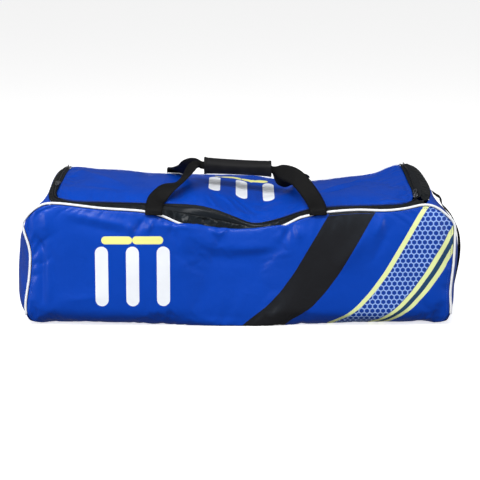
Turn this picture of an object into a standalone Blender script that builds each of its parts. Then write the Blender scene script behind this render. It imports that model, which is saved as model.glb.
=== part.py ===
"""Cricket kit bag: a long padded bag with a zipped lid, piped seams and webbing handles.

Metres. +X runs along the bag, -Y is the front face, +Z is up. The origin is the middle of the
base. Every panel is a sheet of coated cloth laid between shared seam curves, so that the panels
follow one another when a size changes. The tables hold shares of the named sizes below.
"""

import math

import bmesh
import bpy
import numpy as np
from mathutils import Vector

# Main sizes
FACE_LENGTH = 0.900
BAG_DEPTH = 0.300
FACE_HEIGHT = 0.266

# Cloth, piping and webbing
WALL = 0.002
PIPING_RADIUS = 0.0025
SEAM_GAP = 0.0005
PIPING_GAP = 0.0010
LID_PIPING_GAP = 0.0001
PIPING_REACH = 0.014
PIPING_END_TRIM = 0.084
SEAM_START = 0.0005
TAPE_GAP = 0.0012
GUSSET_GAP = 0.0032
WEBBING_WIDTH = 0.036
WEBBING_THICKNESS = 0.0018
STRAP_FACING_UP = 0.35

# Mesh density: the fine grids are where the forms are worked out
CURVE_STEPS = 14
FINE_COLUMNS = 120
FINE_ROWS = 60
END_FINE_COLUMNS = 40
LID_FINE_COLUMNS = 100
LID_FINE_ROWS = 30
BASE_COLUMNS = 16
BASE_ROWS = 4
CLOSER_AT_SEAMS = 0.45
FACE_COLUMNS = 44
FACE_ROWS = 15
BACK_COLUMNS = 30
BACK_ROWS = 9
END_COLUMNS = 12
END_ROWS = 12
LID_COLUMNS = 30
LID_ROWS = 9
BAND_SIDE_STEPS = 12
BAND_FRONT_STEPS = 40
STRAP_STEPS = 46
PIPING_STEPS = 88
GRIP_SIDES = 18
END_HANDLE_STEPS = 22
WEBBING_COLUMNS = 3

# How far the filled bag pushes its panels outwards
FACE_BULGE = 0.009
BACK_BULGE = 0.014
END_BULGE = 0.024
LID_BULGE = 0.006
BASE_SEAM_BOW = 0.010
FACE_SIDE_POWER = 6
FACE_TOP_POWER = 2.4
END_SIDE_POWER = 2.4
END_SMOOTHING = 7
LID_SIDE_POWER = 4

# The front cloth rolls over its own top seam in the middle of the bag.
# The crest and the brow under it are at shares of the way up the front cloth.
ROLL_RISE = 0.0195
ROLL_REACH = 0.010
ROLL_CENTRE = -0.012
ROLL_HALF_LENGTH = 0.130
ROLL_FLATNESS = 6
ROLL_POWER = 0.8
ROLL_CREST = 0.945
ROLL_CREST_WIDTH = 0.040
ROLL_BROW = 0.90
ROLL_BROW_WIDTH = 0.060

# Band round the lid: gusset outside, zip tape inside
TAPE_SHARE = 0.50
BAND_CROWN = 0.0035
COIL_WIDTH = 0.0065
COIL_HEIGHT = 0.0015
COIL_FROM_LID = 0.0075
COIL_LARGEST_SHARE = 0.40
COIL_NEAREST_SHARE = 0.55
TAPE_THICKNESS = 0.0008

# Section of the zip coil: share of half its width, share of its height
COIL_PROFILE = (
    (-1.00, 0.0),
    (-0.55, 1.0),
    (0.55, 1.0),
    (1.00, 0.0),
)

# Zip sliders, and how far along the band they stand, in steps of the band
SLIDER_LENGTH = 0.017
SLIDER_WIDTH = 0.012
SLIDER_HEIGHT = 0.0045
PULL_LENGTH = 0.026
PULL_WIDTH = 0.009
PULL_THICKNESS = 0.0016
SLIDER_LIFT = 0.0006
SLIDER_NOSE_SHARE = 0.65
SLIDER_SHOULDER_SHARE = 0.55
PULL_TIP = 0.0024
LEFT_SLIDER_STEP = 8
RIGHT_SLIDER_STEP = BAND_SIDE_STEPS + BAND_FRONT_STEPS + 1

# Padded grip
GRIP_LENGTH = 0.144
GRIP_TALL = 0.030
GRIP_DEEP = 0.030
GRIP_WALL = 0.0046
GRIP_SECTION_POWER = 0.75

# Along the grip: share of its length from the middle, share of its thickness
GRIP_STATIONS = (
    (-0.50, 1.04),
    (-0.46, 1.06),
    (-0.15, 0.98),
    (0.15, 0.97),
    (0.46, 1.03),
    (0.50, 1.01),
)

# Grab handle on the right end
END_HANDLE_LIFT = 0.0012
END_HANDLE_ACROSS = 0.36
END_HANDLE_START = 0.095
END_HANDLE_END = 0.008
END_HANDLE_SEWN = 0.05
END_HANDLE_HOOP = 0.0050
END_HANDLE_BUMP = 0.010
END_HANDLE_BUMP_AT = 0.92
END_HANDLE_BUMP_WIDTH = 0.055

# Seam round the front face, from the base at the left end over the top to the base at the right end.
# x share of half length, y share of half depth, z share of height, mark
FRONT_SEAM = (
    (-0.8889, -0.7000, 0.0, ""),
    (-0.9511, -0.9200, 0.0113, ""),
    (-0.9889, -1.0533, 0.0677, ""),
    (-0.9956, -1.0600, 0.1692, ""),
    (-0.9733, -1.0267, 0.4323, ""),
    (-0.9689, -1.0133, 0.6203, ""),
    (-0.9911, -1.0067, 0.7669, ""),
    (-0.9978, -1.0000, 0.8308, ""),
    (-0.9600, -0.9933, 0.9248, "face corner"),
    (-0.9067, -0.9933, 0.9850, ""),
    (-0.8600, -0.9867, 0.9981, "gusset corner"),
    (-0.6378, -0.9867, 0.9586, ""),
    (-0.4267, -0.9800, 0.9286, ""),
    (-0.3489, -0.9733, 0.8910, ""),
    (-0.2711, -0.9400, 0.8271, ""),
    (-0.1467, -0.8800, 0.7632, ""),
    (-0.0111, -0.8533, 0.7368, ""),
    (0.1311, -0.8800, 0.7594, ""),
    (0.2156, -0.9400, 0.8158, ""),
    (0.2844, -0.9733, 0.8797, ""),
    (0.3244, -0.9867, 0.8985, ""),
    (0.4044, -0.9867, 0.9248, ""),
    (0.5422, -0.9867, 0.9436, ""),
    (0.6844, -0.9867, 0.9398, ""),
    (0.7667, -0.9867, 0.9549, ""),
    (0.8600, -0.9867, 0.9850, "gusset corner"),
    (0.9067, -0.9933, 0.9699, ""),
    (0.9600, -0.9933, 0.9060, "face corner"),
    (0.9978, -1.0000, 0.8346, ""),
    (1.0022, -1.0067, 0.7256, ""),
    (1.0000, -1.0200, 0.5226, ""),
    (0.9889, -1.0467, 0.2820, ""),
    (0.9933, -1.0600, 0.1316, ""),
    (0.9867, -1.0400, 0.0602, ""),
    (0.9511, -0.9200, 0.0113, ""),
    (0.8889, -0.7000, 0.0, ""),
)

# Seam round the back face, from the base at the left end over the top to the base at the right end.
# x share of half length, y share of half depth, z share of height, mark
BACK_SEAM = (
    (-0.8889, 0.7000, 0.0, ""),
    (-0.9511, 0.9200, 0.0113, ""),
    (-0.9889, 1.0400, 0.0752, ""),
    (-0.9933, 1.0467, 0.2256, ""),
    (-0.9822, 1.0200, 0.4887, ""),
    (-0.9600, 1.0067, 0.7519, ""),
    (-0.9270, 1.0000, 0.9098, ""),
    (-0.9140, 1.0000, 0.9774, "face corner"),
    (-0.8860, 1.0000, 1.0226, "gusset corner"),
    (-0.8400, 1.0000, 1.0489, "lid end"),
    (-0.6956, 1.0000, 1.0320, ""),
    (-0.5711, 1.0000, 1.0226, ""),
    (-0.4667, 1.0000, 1.0000, ""),
    (-0.3556, 0.9933, 0.9925, ""),
    (-0.1333, 0.9867, 0.9850, ""),
    (0.0889, 0.9867, 0.9756, ""),
    (0.1733, 0.9867, 0.9474, ""),
    (0.2622, 0.9867, 0.9286, ""),
    (0.3667, 0.9867, 0.9286, ""),
    (0.5089, 0.9933, 0.9549, ""),
    (0.6889, 1.0000, 1.0000, ""),
    (0.7600, 1.0000, 1.0526, ""),
    (0.8089, 1.0000, 1.0714, "lid end"),
    (0.8778, 1.0000, 1.0489, "gusset corner"),
    (0.9190, 1.0000, 0.9850, "face corner"),
    (0.9470, 1.0000, 0.9023, ""),
    (0.9720, 1.0067, 0.7519, ""),
    (0.9800, 1.0200, 0.4887, ""),
    (0.9933, 1.0467, 0.2256, ""),
    (0.9889, 1.0400, 0.0752, ""),
    (0.9511, 0.9200, 0.0113, ""),
    (0.8889, 0.7000, 0.0, ""),
)

# Edge of the lid, from the back seam at the left end round the front to the back seam at the right.
# x share of half length, y share of half depth, z share of height, mark
LID_EDGE = (
    (-0.8400, 1.0000, 1.0489, ""),
    (-0.8467, 0.5333, 1.0564, ""),
    (-0.8489, 0.0667, 1.0489, ""),
    (-0.8533, -0.4000, 1.0338, ""),
    (-0.8444, -0.6533, 1.0000, "lid corner"),
    (-0.7778, -0.7333, 0.9793, ""),
    (-0.6000, -0.7467, 0.9737, ""),
    (-0.4311, -0.7400, 0.9662, ""),
    (-0.2911, -0.7400, 0.9624, ""),
    (-0.1933, -0.7400, 0.9511, ""),
    (-0.1000, -0.7467, 0.9135, ""),
    (-0.0222, -0.7600, 0.8647, ""),
    (0.0489, -0.7733, 0.8158, ""),
    (0.0911, -0.7733, 0.8083, ""),
    (0.1556, -0.7667, 0.8308, ""),
    (0.2333, -0.7533, 0.8684, ""),
    (0.3289, -0.7400, 0.9173, ""),
    (0.4133, -0.7333, 0.9323, ""),
    (0.5200, -0.7333, 0.9398, ""),
    (0.6600, -0.7333, 0.9474, ""),
    (0.7667, -0.7200, 0.9568, ""),
    (0.8111, -0.6400, 0.9774, "lid corner"),
    (0.8244, -0.4000, 1.0000, ""),
    (0.8200, 0.0667, 1.0263, ""),
    (0.8156, 0.5333, 1.0526, ""),
    (0.8089, 1.0000, 1.0714, ""),
)

# Top seams of the two end panels, from the back seam to the front seam.
# x share of half length, y share of half depth, z share of height, mark
LEFT_END_TOP = (
    (-0.8860, 1.0000, 1.0226, ""),
    (-0.8960, 0.7333, 1.0414, ""),
    (-0.9020, 0.3333, 1.0376, ""),
    (-0.8980, -0.2000, 1.0301, ""),
    (-0.8889, -0.6667, 1.0188, ""),
    (-0.8600, -0.9867, 0.9981, ""),
)
RIGHT_END_TOP = (
    (0.8778, 1.0000, 1.0489, ""),
    (0.8956, 0.7333, 1.0489, ""),
    (0.9089, 0.3333, 1.0338, ""),
    (0.9156, -0.2000, 1.0150, ""),
    (0.8956, -0.6667, 1.0038, ""),
    (0.8600, -0.9867, 0.9850, ""),
)

# How far an end panel stands out, from its base seam to its top seam.
# share of the way up, share of END_BULGE
LEFT_END_PROFILE = (
    (0.00, 0.00),
    (0.12, 0.15),
    (0.28, 0.68),
    (0.47, 1.00),
    (0.61, 0.90),
    (0.70, 0.25),
    (0.78, -0.85),
    (0.86, -1.50),
    (0.94, -1.10),
    (1.00, 0.00),
)
RIGHT_END_PROFILE = (
    (0.00, 0.00),
    (0.12, 0.10),
    (0.28, 0.12),
    (0.40, 0.28),
    (0.52, 0.36),
    (0.61, 0.25),
    (0.70, -0.10),
    (0.78, -0.80),
    (0.86, -1.20),
    (0.94, -0.90),
    (1.00, 0.00),
)

# Webbing loops, from the base at the left over the grip to the base at the right.
# x share of half length, y share of half depth, z share of height, turn in degrees, width share
FRONT_STRAP = (
    (-0.3900, -1.0367, 0.9079, 0, 1.00),
    (-0.3900, -1.0300, 0.9455, 0, 1.00),
    (-0.3889, -0.9533, 0.9680, 0, 1.00),
    (-0.3856, -0.8267, 0.9925, 0, 1.00),
    (-0.3689, -0.7067, 1.0188, 0, 1.00),
    (-0.3378, -0.6000, 1.0639, -8, 1.00),
    (-0.3022, -0.5000, 1.0883, -16, 1.00),
    (-0.2733, -0.3867, 1.1015, -18, 1.00),
    (-0.2478, -0.2733, 1.1316, -8, 1.00),
    (-0.2256, -0.1733, 1.1842, 0, 0.95),
    (-0.2044, -0.0867, 1.2030, 0, 0.68),
    (-0.1778, -0.0320, 1.1842, 0, 0.42),
    (-0.1333, -0.0300, 1.1759, 0, 0.42),
    (0.0, -0.0300, 1.1635, 0, 0.42),
    (0.1333, -0.0300, 1.1504, 0, 0.42),
    (0.1711, -0.0333, 1.1466, 0, 0.42),
    (0.1978, -0.0933, 1.1466, 0, 0.78),
    (0.2322, -0.2000, 1.1391, 0, 1.00),
    (0.2700, -0.3200, 1.1241, 0, 1.00),
    (0.2967, -0.4267, 1.0921, 0, 1.00),
    (0.3200, -0.5333, 1.0526, 0, 1.00),
    (0.3400, -0.6400, 1.0150, 0, 1.00),
    (0.3567, -0.7867, 0.9793, 0, 1.00),
    (0.3644, -0.9467, 0.9624, 0, 1.00),
    (0.3667, -1.0300, 0.9436, 0, 1.00),
    (0.3667, -1.0367, 0.9060, 0, 1.00),
)
REAR_STRAP = (
    (-0.3222, 1.0500, 0.9662, 0, 1.00),
    (-0.3222, 1.0433, 1.0075, 0, 1.00),
    (-0.3200, 0.9600, 1.0250, 0, 1.00),
    (-0.3111, 0.8133, 1.0338, 0, 1.00),
    (-0.2889, 0.5867, 1.0560, 8, 1.00),
    (-0.2667, 0.3733, 1.0900, 12, 1.00),
    (-0.2422, 0.1867, 1.1504, 8, 0.95),
    (-0.2089, 0.0800, 1.1880, 0, 0.68),
    (-0.1778, 0.0320, 1.1823, 0, 0.42),
    (-0.1333, 0.0300, 1.1759, 0, 0.42),
    (0.0, 0.0300, 1.1635, 0, 0.42),
    (0.1333, 0.0300, 1.1504, 0, 0.42),
    (0.1689, 0.0333, 1.1391, 0, 0.42),
    (0.1911, 0.0800, 1.1015, 0, 0.72),
    (0.2156, 0.1133, 1.0489, 0, 1.00),
    (0.2422, 0.1733, 1.0226, 0, 1.00),
    (0.2711, 0.2933, 1.0150, 0, 1.00),
    (0.3000, 0.4933, 1.0038, -10, 1.00),
    (0.3133, 0.7000, 0.9812, -5, 1.00),
    (0.3178, 0.8667, 0.9624, 0, 1.00),
    (0.3178, 0.9733, 0.9586, 0, 1.00),
    (0.3178, 1.0433, 0.9398, 0, 1.00),
    (0.3178, 1.0500, 0.9023, 0, 1.00),
)

# Middle of the grip: x share of half length, y share of half depth, z share of height
GRIP_LEFT = (-0.1589, 0.0, 1.1786)
GRIP_RIGHT = (0.1522, 0.0, 1.1485)

HALF_SIZES = np.array((FACE_LENGTH / 2, BAG_DEPTH / 2, FACE_HEIGHT))


def clear_scene():
    for obj in list(bpy.data.objects):
        bpy.data.objects.remove(obj, do_unlink=True)


def make_collection(name):
    collection = bpy.data.collections.new(name)
    bpy.context.scene.collection.children.link(collection)
    return collection


def make_material(name, color, roughness, metallic=0.0):
    material = bpy.data.materials.new(name)
    material.use_nodes = True
    shader = material.node_tree.nodes["Principled BSDF"]
    shader.inputs["Base Color"].default_value = (*color, 1.0)
    shader.inputs["Roughness"].default_value = roughness
    shader.inputs["Metallic"].default_value = metallic
    return material


def add_mesh(name, vertices, faces, material, collection):
    mesh = bpy.data.meshes.new(name)
    mesh.from_pydata([tuple(v) for v in vertices], [], faces)
    mesh.update()
    obj = bpy.data.objects.new(name, mesh)
    mesh.materials.append(material)
    collection.objects.link(obj)
    mesh.shade_smooth()
    return obj


# Curves through the rows of a table

def smooth_curve(points):
    """A centripetal Catmull-Rom curve with CURVE_STEPS points for each span of the table."""
    points = np.array(points, float)
    ends = np.vstack((2 * points[0] - points[1], points, 2 * points[-1] - points[-2]))
    curve = []
    for i in range(1, len(ends) - 2):
        near = ends[i - 1:i + 3]
        gaps = np.linalg.norm(np.diff(near[:, :3], axis=0), axis=1)
        knots = np.concatenate(((0,), np.cumsum(gaps ** 0.5)))
        for t in np.linspace(knots[1], knots[2], CURVE_STEPS, endpoint=False):
            level = list(near)
            for spans in (((0, 1), (1, 2), (2, 3)), ((0, 2), (1, 3)), ((1, 2),)):
                level = [
                    ((knots[b] - t) * level[j] + (t - knots[a]) * level[j + 1]) / (knots[b] - knots[a])
                    for j, (a, b) in enumerate(spans)
                ]
            curve.append(level[0])
    curve.append(points[-1])
    return np.array(curve)


def table_points(table):
    return np.array([row[:3] for row in table]) * HALF_SIZES


def marked(table, mark):
    """Places of a mark along the curve of a table, as indexes of the curve."""
    return [i * CURVE_STEPS for i, row in enumerate(table) if row[3] == mark]


def lengths(points):
    steps = np.linalg.norm(np.diff(points[:, :3], axis=0), axis=1)
    return np.concatenate(((0.0,), np.cumsum(steps)))


def spread(points, shares, start_trim=0.0, end_trim=0.0):
    """Points at the given shares of a curve's length, after a trim in metres at each end."""
    run = lengths(points)
    places = start_trim + (run[-1] - start_trim - end_trim) * np.asarray(shares)
    return np.column_stack([np.interp(places, run, points[:, k]) for k in range(points.shape[1])])


def even(count):
    return np.linspace(0.0, 1.0, count + 1)


def closer_at_ends(count):
    share = even(count)
    return share - CLOSER_AT_SEAMS * np.sin(2 * math.pi * share) / (2 * math.pi)


# Sheets between four curves

def patch(bottom, top, left, right, across, up):
    """A grid of points between four curves that share their corners; rows run left to right."""
    u = even(across)
    v = even(up)
    bottom = spread(bottom, u)
    top = spread(top, u)
    left = spread(left, v)
    right = spread(right, v)
    u = u[None, :, None]
    v = v[:, None, None]
    grid = (1 - v) * bottom[None] + v * top[None] + (1 - u) * left[:, None] + u * right[:, None]
    grid -= (1 - u) * (1 - v) * bottom[0] + u * (1 - v) * bottom[-1]
    grid -= (1 - u) * v * top[0] + u * v * top[-1]
    return grid


def trim_patch(grid, columns, rows, side_trims, bottom_trim, top_trim):
    """The same sheet with its edges drawn back from the seams and its points spread again."""
    level = np.array([spread(row, closer_at_ends(columns), *side_trims) for row in grid])
    columns_out = [
        spread(level[:, j], closer_at_ends(rows), bottom_trim, top_trim) for j in range(columns + 1)
    ]
    return np.array(columns_out).transpose(1, 0, 2)


def keep_clear(grid, seam, gap=PIPING_GAP):
    """Draws a sheet back from a piped seam, so that its edge stops beside the piping."""
    starts = seam[:-1]
    steps = np.diff(seam, axis=0)
    points = grid.reshape(-1, 3)
    away = points[:, None] - starts[None]
    share = np.clip((away * steps).sum(axis=2) / (steps ** 2).sum(axis=1), 0.0, 1.0)
    away -= share[:, :, None] * steps
    distance = np.linalg.norm(away, axis=2)
    nearest = distance.argmin(axis=1)
    rows = np.arange(len(points))
    distance = distance[rows, nearest]
    clear = PIPING_RADIUS + gap
    missing = clear * np.maximum(1 - distance / PIPING_REACH, 0.0)
    moved = points + away[rows, nearest] * (missing / np.maximum(distance, 1e-9))[:, None]
    return moved.reshape(grid.shape)


def grid_faces(rows, columns, flip=False, cut_top=False):
    """Quads of a grid; cut_top leaves out the two top corner points, where the seam is round."""
    faces = []
    for i in range(rows - 1):
        for j in range(columns - 1):
            a = i * columns + j
            face = (a, a + 1, a + 1 + columns, a + columns)
            if cut_top and i == rows - 2 and j == 0:
                face = face[:3]
            if cut_top and i == rows - 2 and j == columns - 2:
                face = (a, a + 1, a + columns)
            faces.append(face[::-1] if flip else face)
    return faces


def sheet_object(name, grid, material, collection, thickness=WALL, flip=False, offset=-1.0, cut_top=False):
    """A sheet of cloth whose outer skin is the grid and whose thickness goes inwards."""
    rows, columns = grid.shape[:2]
    faces = grid_faces(rows, columns, flip, cut_top)
    used = sorted({k for face in faces for k in face})
    place = {k: n for n, k in enumerate(used)}
    faces = [tuple(place[k] for k in face) for face in faces]
    obj = add_mesh(name, grid.reshape(-1, 3)[used], faces, material, collection)
    solid = obj.modifiers.new("thickness", "SOLIDIFY")
    solid.thickness = thickness
    solid.offset = offset
    return obj


def bell(share, power):
    """One in the middle of the range 0 to 1 and zero at both ends."""
    return 1 - np.abs(2 * share - 1) ** power


# Seam curves shared by the panels

class Seams:
    def __init__(self):
        self.front = smooth_curve(table_points(FRONT_SEAM))
        self.back = smooth_curve(table_points(BACK_SEAM))
        self.lid = smooth_curve(table_points(LID_EDGE))
        self.left_top = smooth_curve(table_points(LEFT_END_TOP))
        self.right_top = smooth_curve(table_points(RIGHT_END_TOP))
        self.front_face = marked(FRONT_SEAM, "face corner")
        self.front_gusset = marked(FRONT_SEAM, "gusset corner")
        self.back_face = marked(BACK_SEAM, "face corner")
        self.back_gusset = marked(BACK_SEAM, "gusset corner")
        self.back_lid = marked(BACK_SEAM, "lid end")
        self.lid_corner = marked(LID_EDGE, "lid corner")
        self.left_base = self.base_curve(-1)
        self.right_base = self.base_curve(1)

    def base_curve(self, side):
        """Seam between the base and an end panel, from front to back."""
        start = self.front[0 if side < 0 else -1]
        end = self.back[0 if side < 0 else -1]
        share = even(20)[:, None]
        curve = (1 - share) * start + share * end
        curve[:, 0] += side * BASE_SEAM_BOW * bell(share[:, 0], 2)
        return curve


def part_of(curve, start, end):
    return curve[start:end + 1] if start <= end else curve[end:start + 1][::-1]


def roll_share(x):
    """How far the front cloth is rolled over at x: one in the middle of the roll, zero outside."""
    return np.clip(1 - ((x - ROLL_CENTRE) / ROLL_HALF_LENGTH) ** ROLL_FLATNESS, 0.0, 1.0)


def seat_rolled_edge(grid, seam, corners):
    """Sets the top edge of the front cloth before its piping where the cloth rolls over."""
    top = part_of(seam, *corners)
    edge = grid[-1]
    roll = roll_share(edge[:, 0])
    rolled = roll > 0
    turn = np.clip(2 * roll, 0.0, 1.0) * math.pi / 2
    distance = PIPING_RADIUS + PIPING_GAP
    edge[rolled, 1] = (np.interp(edge[:, 0], top[:, 0], top[:, 1]) - distance * np.sin(turn))[rolled]
    edge[rolled, 2] = (np.interp(edge[:, 0], top[:, 0], top[:, 2]) - distance * np.cos(turn))[rolled]
    return grid


def face_grid(seam, corners, bulge, side):
    """Front or back cloth: up from the base seam, over the tuck and up to the top seam."""
    first, last = corners
    bottom = np.array((seam[0], seam[-1]))
    top = part_of(seam, first, last)
    left = part_of(seam, 0, first)
    right = part_of(seam, len(seam) - 1, last)
    grid = patch(bottom, top, left, right, FINE_COLUMNS, FINE_ROWS)
    u = even(FINE_COLUMNS)[None, :]
    v = even(FINE_ROWS)[:, None]
    grid[:, :, 1] += side * bulge * bell(u, FACE_SIDE_POWER) * bell(v, FACE_TOP_POWER)
    grid[:, :, 2] = np.abs(grid[:, :, 2])
    return grid


def front_grid(seams):
    grid = face_grid(seams.front, seams.front_face, FACE_BULGE, -1)
    v = even(FINE_ROWS)[:, None]
    roll = roll_share(grid[:, :, 0]) ** ROLL_POWER
    over = np.exp(-((v - ROLL_CREST) / ROLL_CREST_WIDTH) ** 2) * (v < 1)
    reach = np.exp(-((v - ROLL_BROW) / ROLL_BROW_WIDTH) ** 2) * (1 - v) / (1 - ROLL_BROW)
    grid[:, :, 2] += ROLL_RISE * roll * over
    grid[:, :, 1] -= ROLL_REACH * roll * np.clip(reach, 0.0, 1.0)
    return grid


def end_grid(seams, side):
    left_side = side < 0
    front, back = seams.front, seams.back
    if left_side:
        front_edge = part_of(front, 0, seams.front_gusset[0])
        back_edge = part_of(back, 0, seams.back_gusset[0])
        top = seams.left_top[::-1]
        bottom = seams.left_base
    else:
        front_edge = part_of(front, len(front) - 1, seams.front_gusset[1])
        back_edge = part_of(back, len(back) - 1, seams.back_gusset[1])
        top = seams.right_top[::-1]
        bottom = seams.right_base
    grid = patch(bottom, top, front_edge, back_edge, END_FINE_COLUMNS, FINE_ROWS)
    u = even(END_FINE_COLUMNS)[None, :]
    v = even(FINE_ROWS)[:, None]
    heights, shares = np.array(LEFT_END_PROFILE if left_side else RIGHT_END_PROFILE).T
    standing = np.interp(v, heights, shares)
    window = np.ones(END_SMOOTHING) / END_SMOOTHING
    standing = np.pad(standing[:, 0], END_SMOOTHING // 2, mode="edge")
    standing = np.convolve(standing, window, "valid")[:, None]
    standing[0] = 0.0
    standing[-1] = 0.0
    grid[:, :, 0] += side * END_BULGE * bell(u, END_SIDE_POWER) * standing
    grid[:, :, 2] = np.abs(grid[:, :, 2])
    return grid


def lid_grid(seams):
    first, last = seams.lid_corner
    back_first, back_last = seams.back_lid
    bottom = part_of(seams.lid, first, last)
    top = part_of(seams.back, back_first, back_last)
    left = part_of(seams.lid, first, 0)
    right = part_of(seams.lid, last, len(seams.lid) - 1)
    grid = patch(bottom, top, left, right, LID_FINE_COLUMNS, LID_FINE_ROWS)
    u = even(LID_FINE_COLUMNS)[None, :]
    v = even(LID_FINE_ROWS)[:, None]
    grid[:, :, 2] += LID_BULGE * bell(u, LID_SIDE_POWER) * bell(v, 2)
    return grid


def band_edges(seams):
    """Outer and inner edge of the black band, in step, with the trims that its seams need."""
    side = even(BAND_SIDE_STEPS)
    front = even(BAND_FRONT_STEPS)
    lid_first, lid_last = seams.lid_corner
    outer = np.vstack((
        spread(seams.left_top, side)[:-1],
        spread(part_of(seams.front, *seams.front_gusset), front),
        spread(seams.right_top[::-1], side)[1:],
    ))
    inner = np.vstack((
        spread(part_of(seams.lid, 0, lid_first), side)[:-1],
        spread(part_of(seams.lid, lid_first, lid_last), front),
        spread(part_of(seams.lid, lid_last, len(seams.lid) - 1), side)[1:],
    ))
    trims = np.full(len(outer), GUSSET_GAP)
    trims[BAND_SIDE_STEPS + 1:BAND_SIDE_STEPS + BAND_FRONT_STEPS] = SEAM_START
    return outer, inner, trims


def band_grid(seams, start_share, end_share, start_trim, end_trim, steps, bump=None):
    """Part of the band between two shares of its width, outer edge at share 0, lid at share 1."""
    outer, inner, trims = band_edges(seams)
    width = np.linalg.norm(inner - outer, axis=1)
    rows = []
    for k in range(steps + 1):
        first = start_share + (trims if start_trim is None else start_trim) / width
        last = end_share - end_trim / width
        share = first + (last - first) * k / steps
        row = outer + (inner - outer) * share[:, None]
        row[:, 2] += BAND_CROWN * bell(share, 2)
        rows.append(row)
    rows = np.array(rows)
    back_trim = PIPING_RADIUS + PIPING_GAP
    for end, inward in ((0, 1), (-1, -2)):
        reach = rows[:, inward] - rows[:, end]
        rows[:, end] += reach * (back_trim / np.linalg.norm(reach, axis=1))[:, None]
    return rows


# Builders of the parts

def build_faces(seams, cloth, base_cloth, collection):
    sides = (SEAM_START, SEAM_START)
    front = trim_patch(front_grid(seams), FACE_COLUMNS, FACE_ROWS, sides, SEAM_GAP, SEAM_START)
    front = seat_rolled_edge(keep_clear(front, seams.front), seams.front, seams.front_face)
    sheet_object("front_panel", front, cloth, collection, cut_top=True)
    back = face_grid(seams.back, seams.back_face, BACK_BULGE, 1)
    back = trim_patch(back, BACK_COLUMNS, BACK_ROWS, sides, SEAM_GAP, SEAM_START)
    back = keep_clear(back, seams.back)
    sheet_object("back_panel", back, cloth, collection, flip=True, cut_top=True)
    corner_front = np.array((seams.front[0], seams.front[-1]))
    corner_back = np.array((seams.back[0], seams.back[-1]))
    base = patch(corner_front, corner_back, seams.left_base, seams.right_base, FINE_COLUMNS, LID_FINE_ROWS)
    base = trim_patch(base, BASE_COLUMNS, BASE_ROWS, (SEAM_GAP, SEAM_GAP), SEAM_GAP, SEAM_GAP)
    base[:, :, 2] = 0.0
    sheet_object("base_panel", base, base_cloth, collection, flip=True)


def build_ends(seams, cloth, collection):
    sides = (SEAM_START, SEAM_START)
    for name, side in (("left_end_panel", -1), ("right_end_panel", 1)):
        grid = trim_patch(end_grid(seams, side), END_COLUMNS, END_ROWS, sides, SEAM_GAP, SEAM_GAP)
        grid = keep_clear(keep_clear(grid, seams.front), seams.back)
        sheet_object(name, grid, cloth, collection, flip=side < 0)


def build_lid(seams, cloth, collection):
    grid = trim_patch(
        lid_grid(seams), LID_COLUMNS, LID_ROWS, (SEAM_GAP, SEAM_GAP), SEAM_GAP, SEAM_START,
    )
    sheet_object("lid_panel", keep_clear(grid, seams.back, LID_PIPING_GAP), cloth, collection)


def build_band(seams, gusset_cloth, tape_cloth, collection):
    split = 1 - TAPE_SHARE
    gusset = keep_clear(band_grid(seams, 0.0, split, None, TAPE_GAP, 2), seams.front)
    sheet_object("top_gusset", gusset, gusset_cloth, collection)
    flat = band_grid(seams, split, 1.0, TAPE_GAP, WALL + SEAM_GAP, 1)
    outer_line, lid_line = flat
    reach = lid_line - outer_line
    width = np.linalg.norm(reach, axis=1)
    up = np.array((0.0, 0.0, 1.0))
    half_coil = np.minimum(COIL_WIDTH / 2, COIL_LARGEST_SHARE / 2 * width)
    middle = np.maximum(width - COIL_FROM_LID, width * COIL_NEAREST_SHARE)
    rows = [outer_line]
    for sideways, lift in COIL_PROFILE:
        share = (middle + sideways * half_coil) / width
        rows.append(outer_line + reach * share[:, None] + lift * COIL_HEIGHT * up)
    rows.append(lid_line)
    sheet_object("zip_tape", np.array(rows), tape_cloth, collection, TAPE_THICKNESS)
    return np.array(rows)


def build_piping(seams, cloth, collection):
    for name, seam in (("piping_front", seams.front), ("piping_back", seams.back)):
        points = spread(seam, even(PIPING_STEPS), PIPING_END_TRIM, PIPING_END_TRIM)
        curve = bpy.data.curves.new(name, "CURVE")
        curve.dimensions = "3D"
        curve.bevel_depth = PIPING_RADIUS
        curve.bevel_resolution = 1
        curve.use_fill_caps = True
        line = curve.splines.new("POLY")
        line.points.add(len(points) - 1)
        for point, place in zip(line.points, points):
            point.co = (*place, 1.0)
        curve.materials.append(cloth)
        obj = bpy.data.objects.new(name, curve)
        collection.objects.link(obj)


def ribbon_grid(path, sides, width_shares):
    """Rows of points across a webbing of changing width, for a path and its side directions."""
    across = np.linspace(-0.5, 0.5, WEBBING_COLUMNS + 1) * WEBBING_WIDTH
    return np.array([path + sides * (a * width_shares)[:, None] for a in across])


def strap_frame(table):
    rows = np.array(table, float)
    rows[:, :3] *= HALF_SIZES
    curve = smooth_curve(rows)
    curve = spread(curve, even(STRAP_STEPS))
    path = curve[:, :3]
    along = np.gradient(path, axis=0)
    along /= np.linalg.norm(along, axis=1)[:, None]
    facing = np.array((0.0, math.copysign(1.0, rows[0, 1]), STRAP_FACING_UP))
    side = np.cross(np.tile(facing, (len(path), 1)), along)
    side /= np.linalg.norm(side, axis=1)[:, None]
    normal = np.cross(along, side)
    turn = np.radians(curve[:, 3])[:, None]
    side = side * np.cos(turn) + normal * np.sin(turn)
    return path, side, curve[:, 4]


def build_straps(webbing, collection):
    for name, table in (("front_handle_strap", FRONT_STRAP), ("rear_handle_strap", REAR_STRAP)):
        path, side, width = strap_frame(table)
        grid = ribbon_grid(path, side, width)
        sheet_object(name, grid, webbing, collection, WEBBING_THICKNESS, offset=0.0)


def rounded(share):
    """Share of a radius for a section between an oval and a rectangle."""
    return math.copysign(abs(share) ** GRIP_SECTION_POWER, share)


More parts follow.
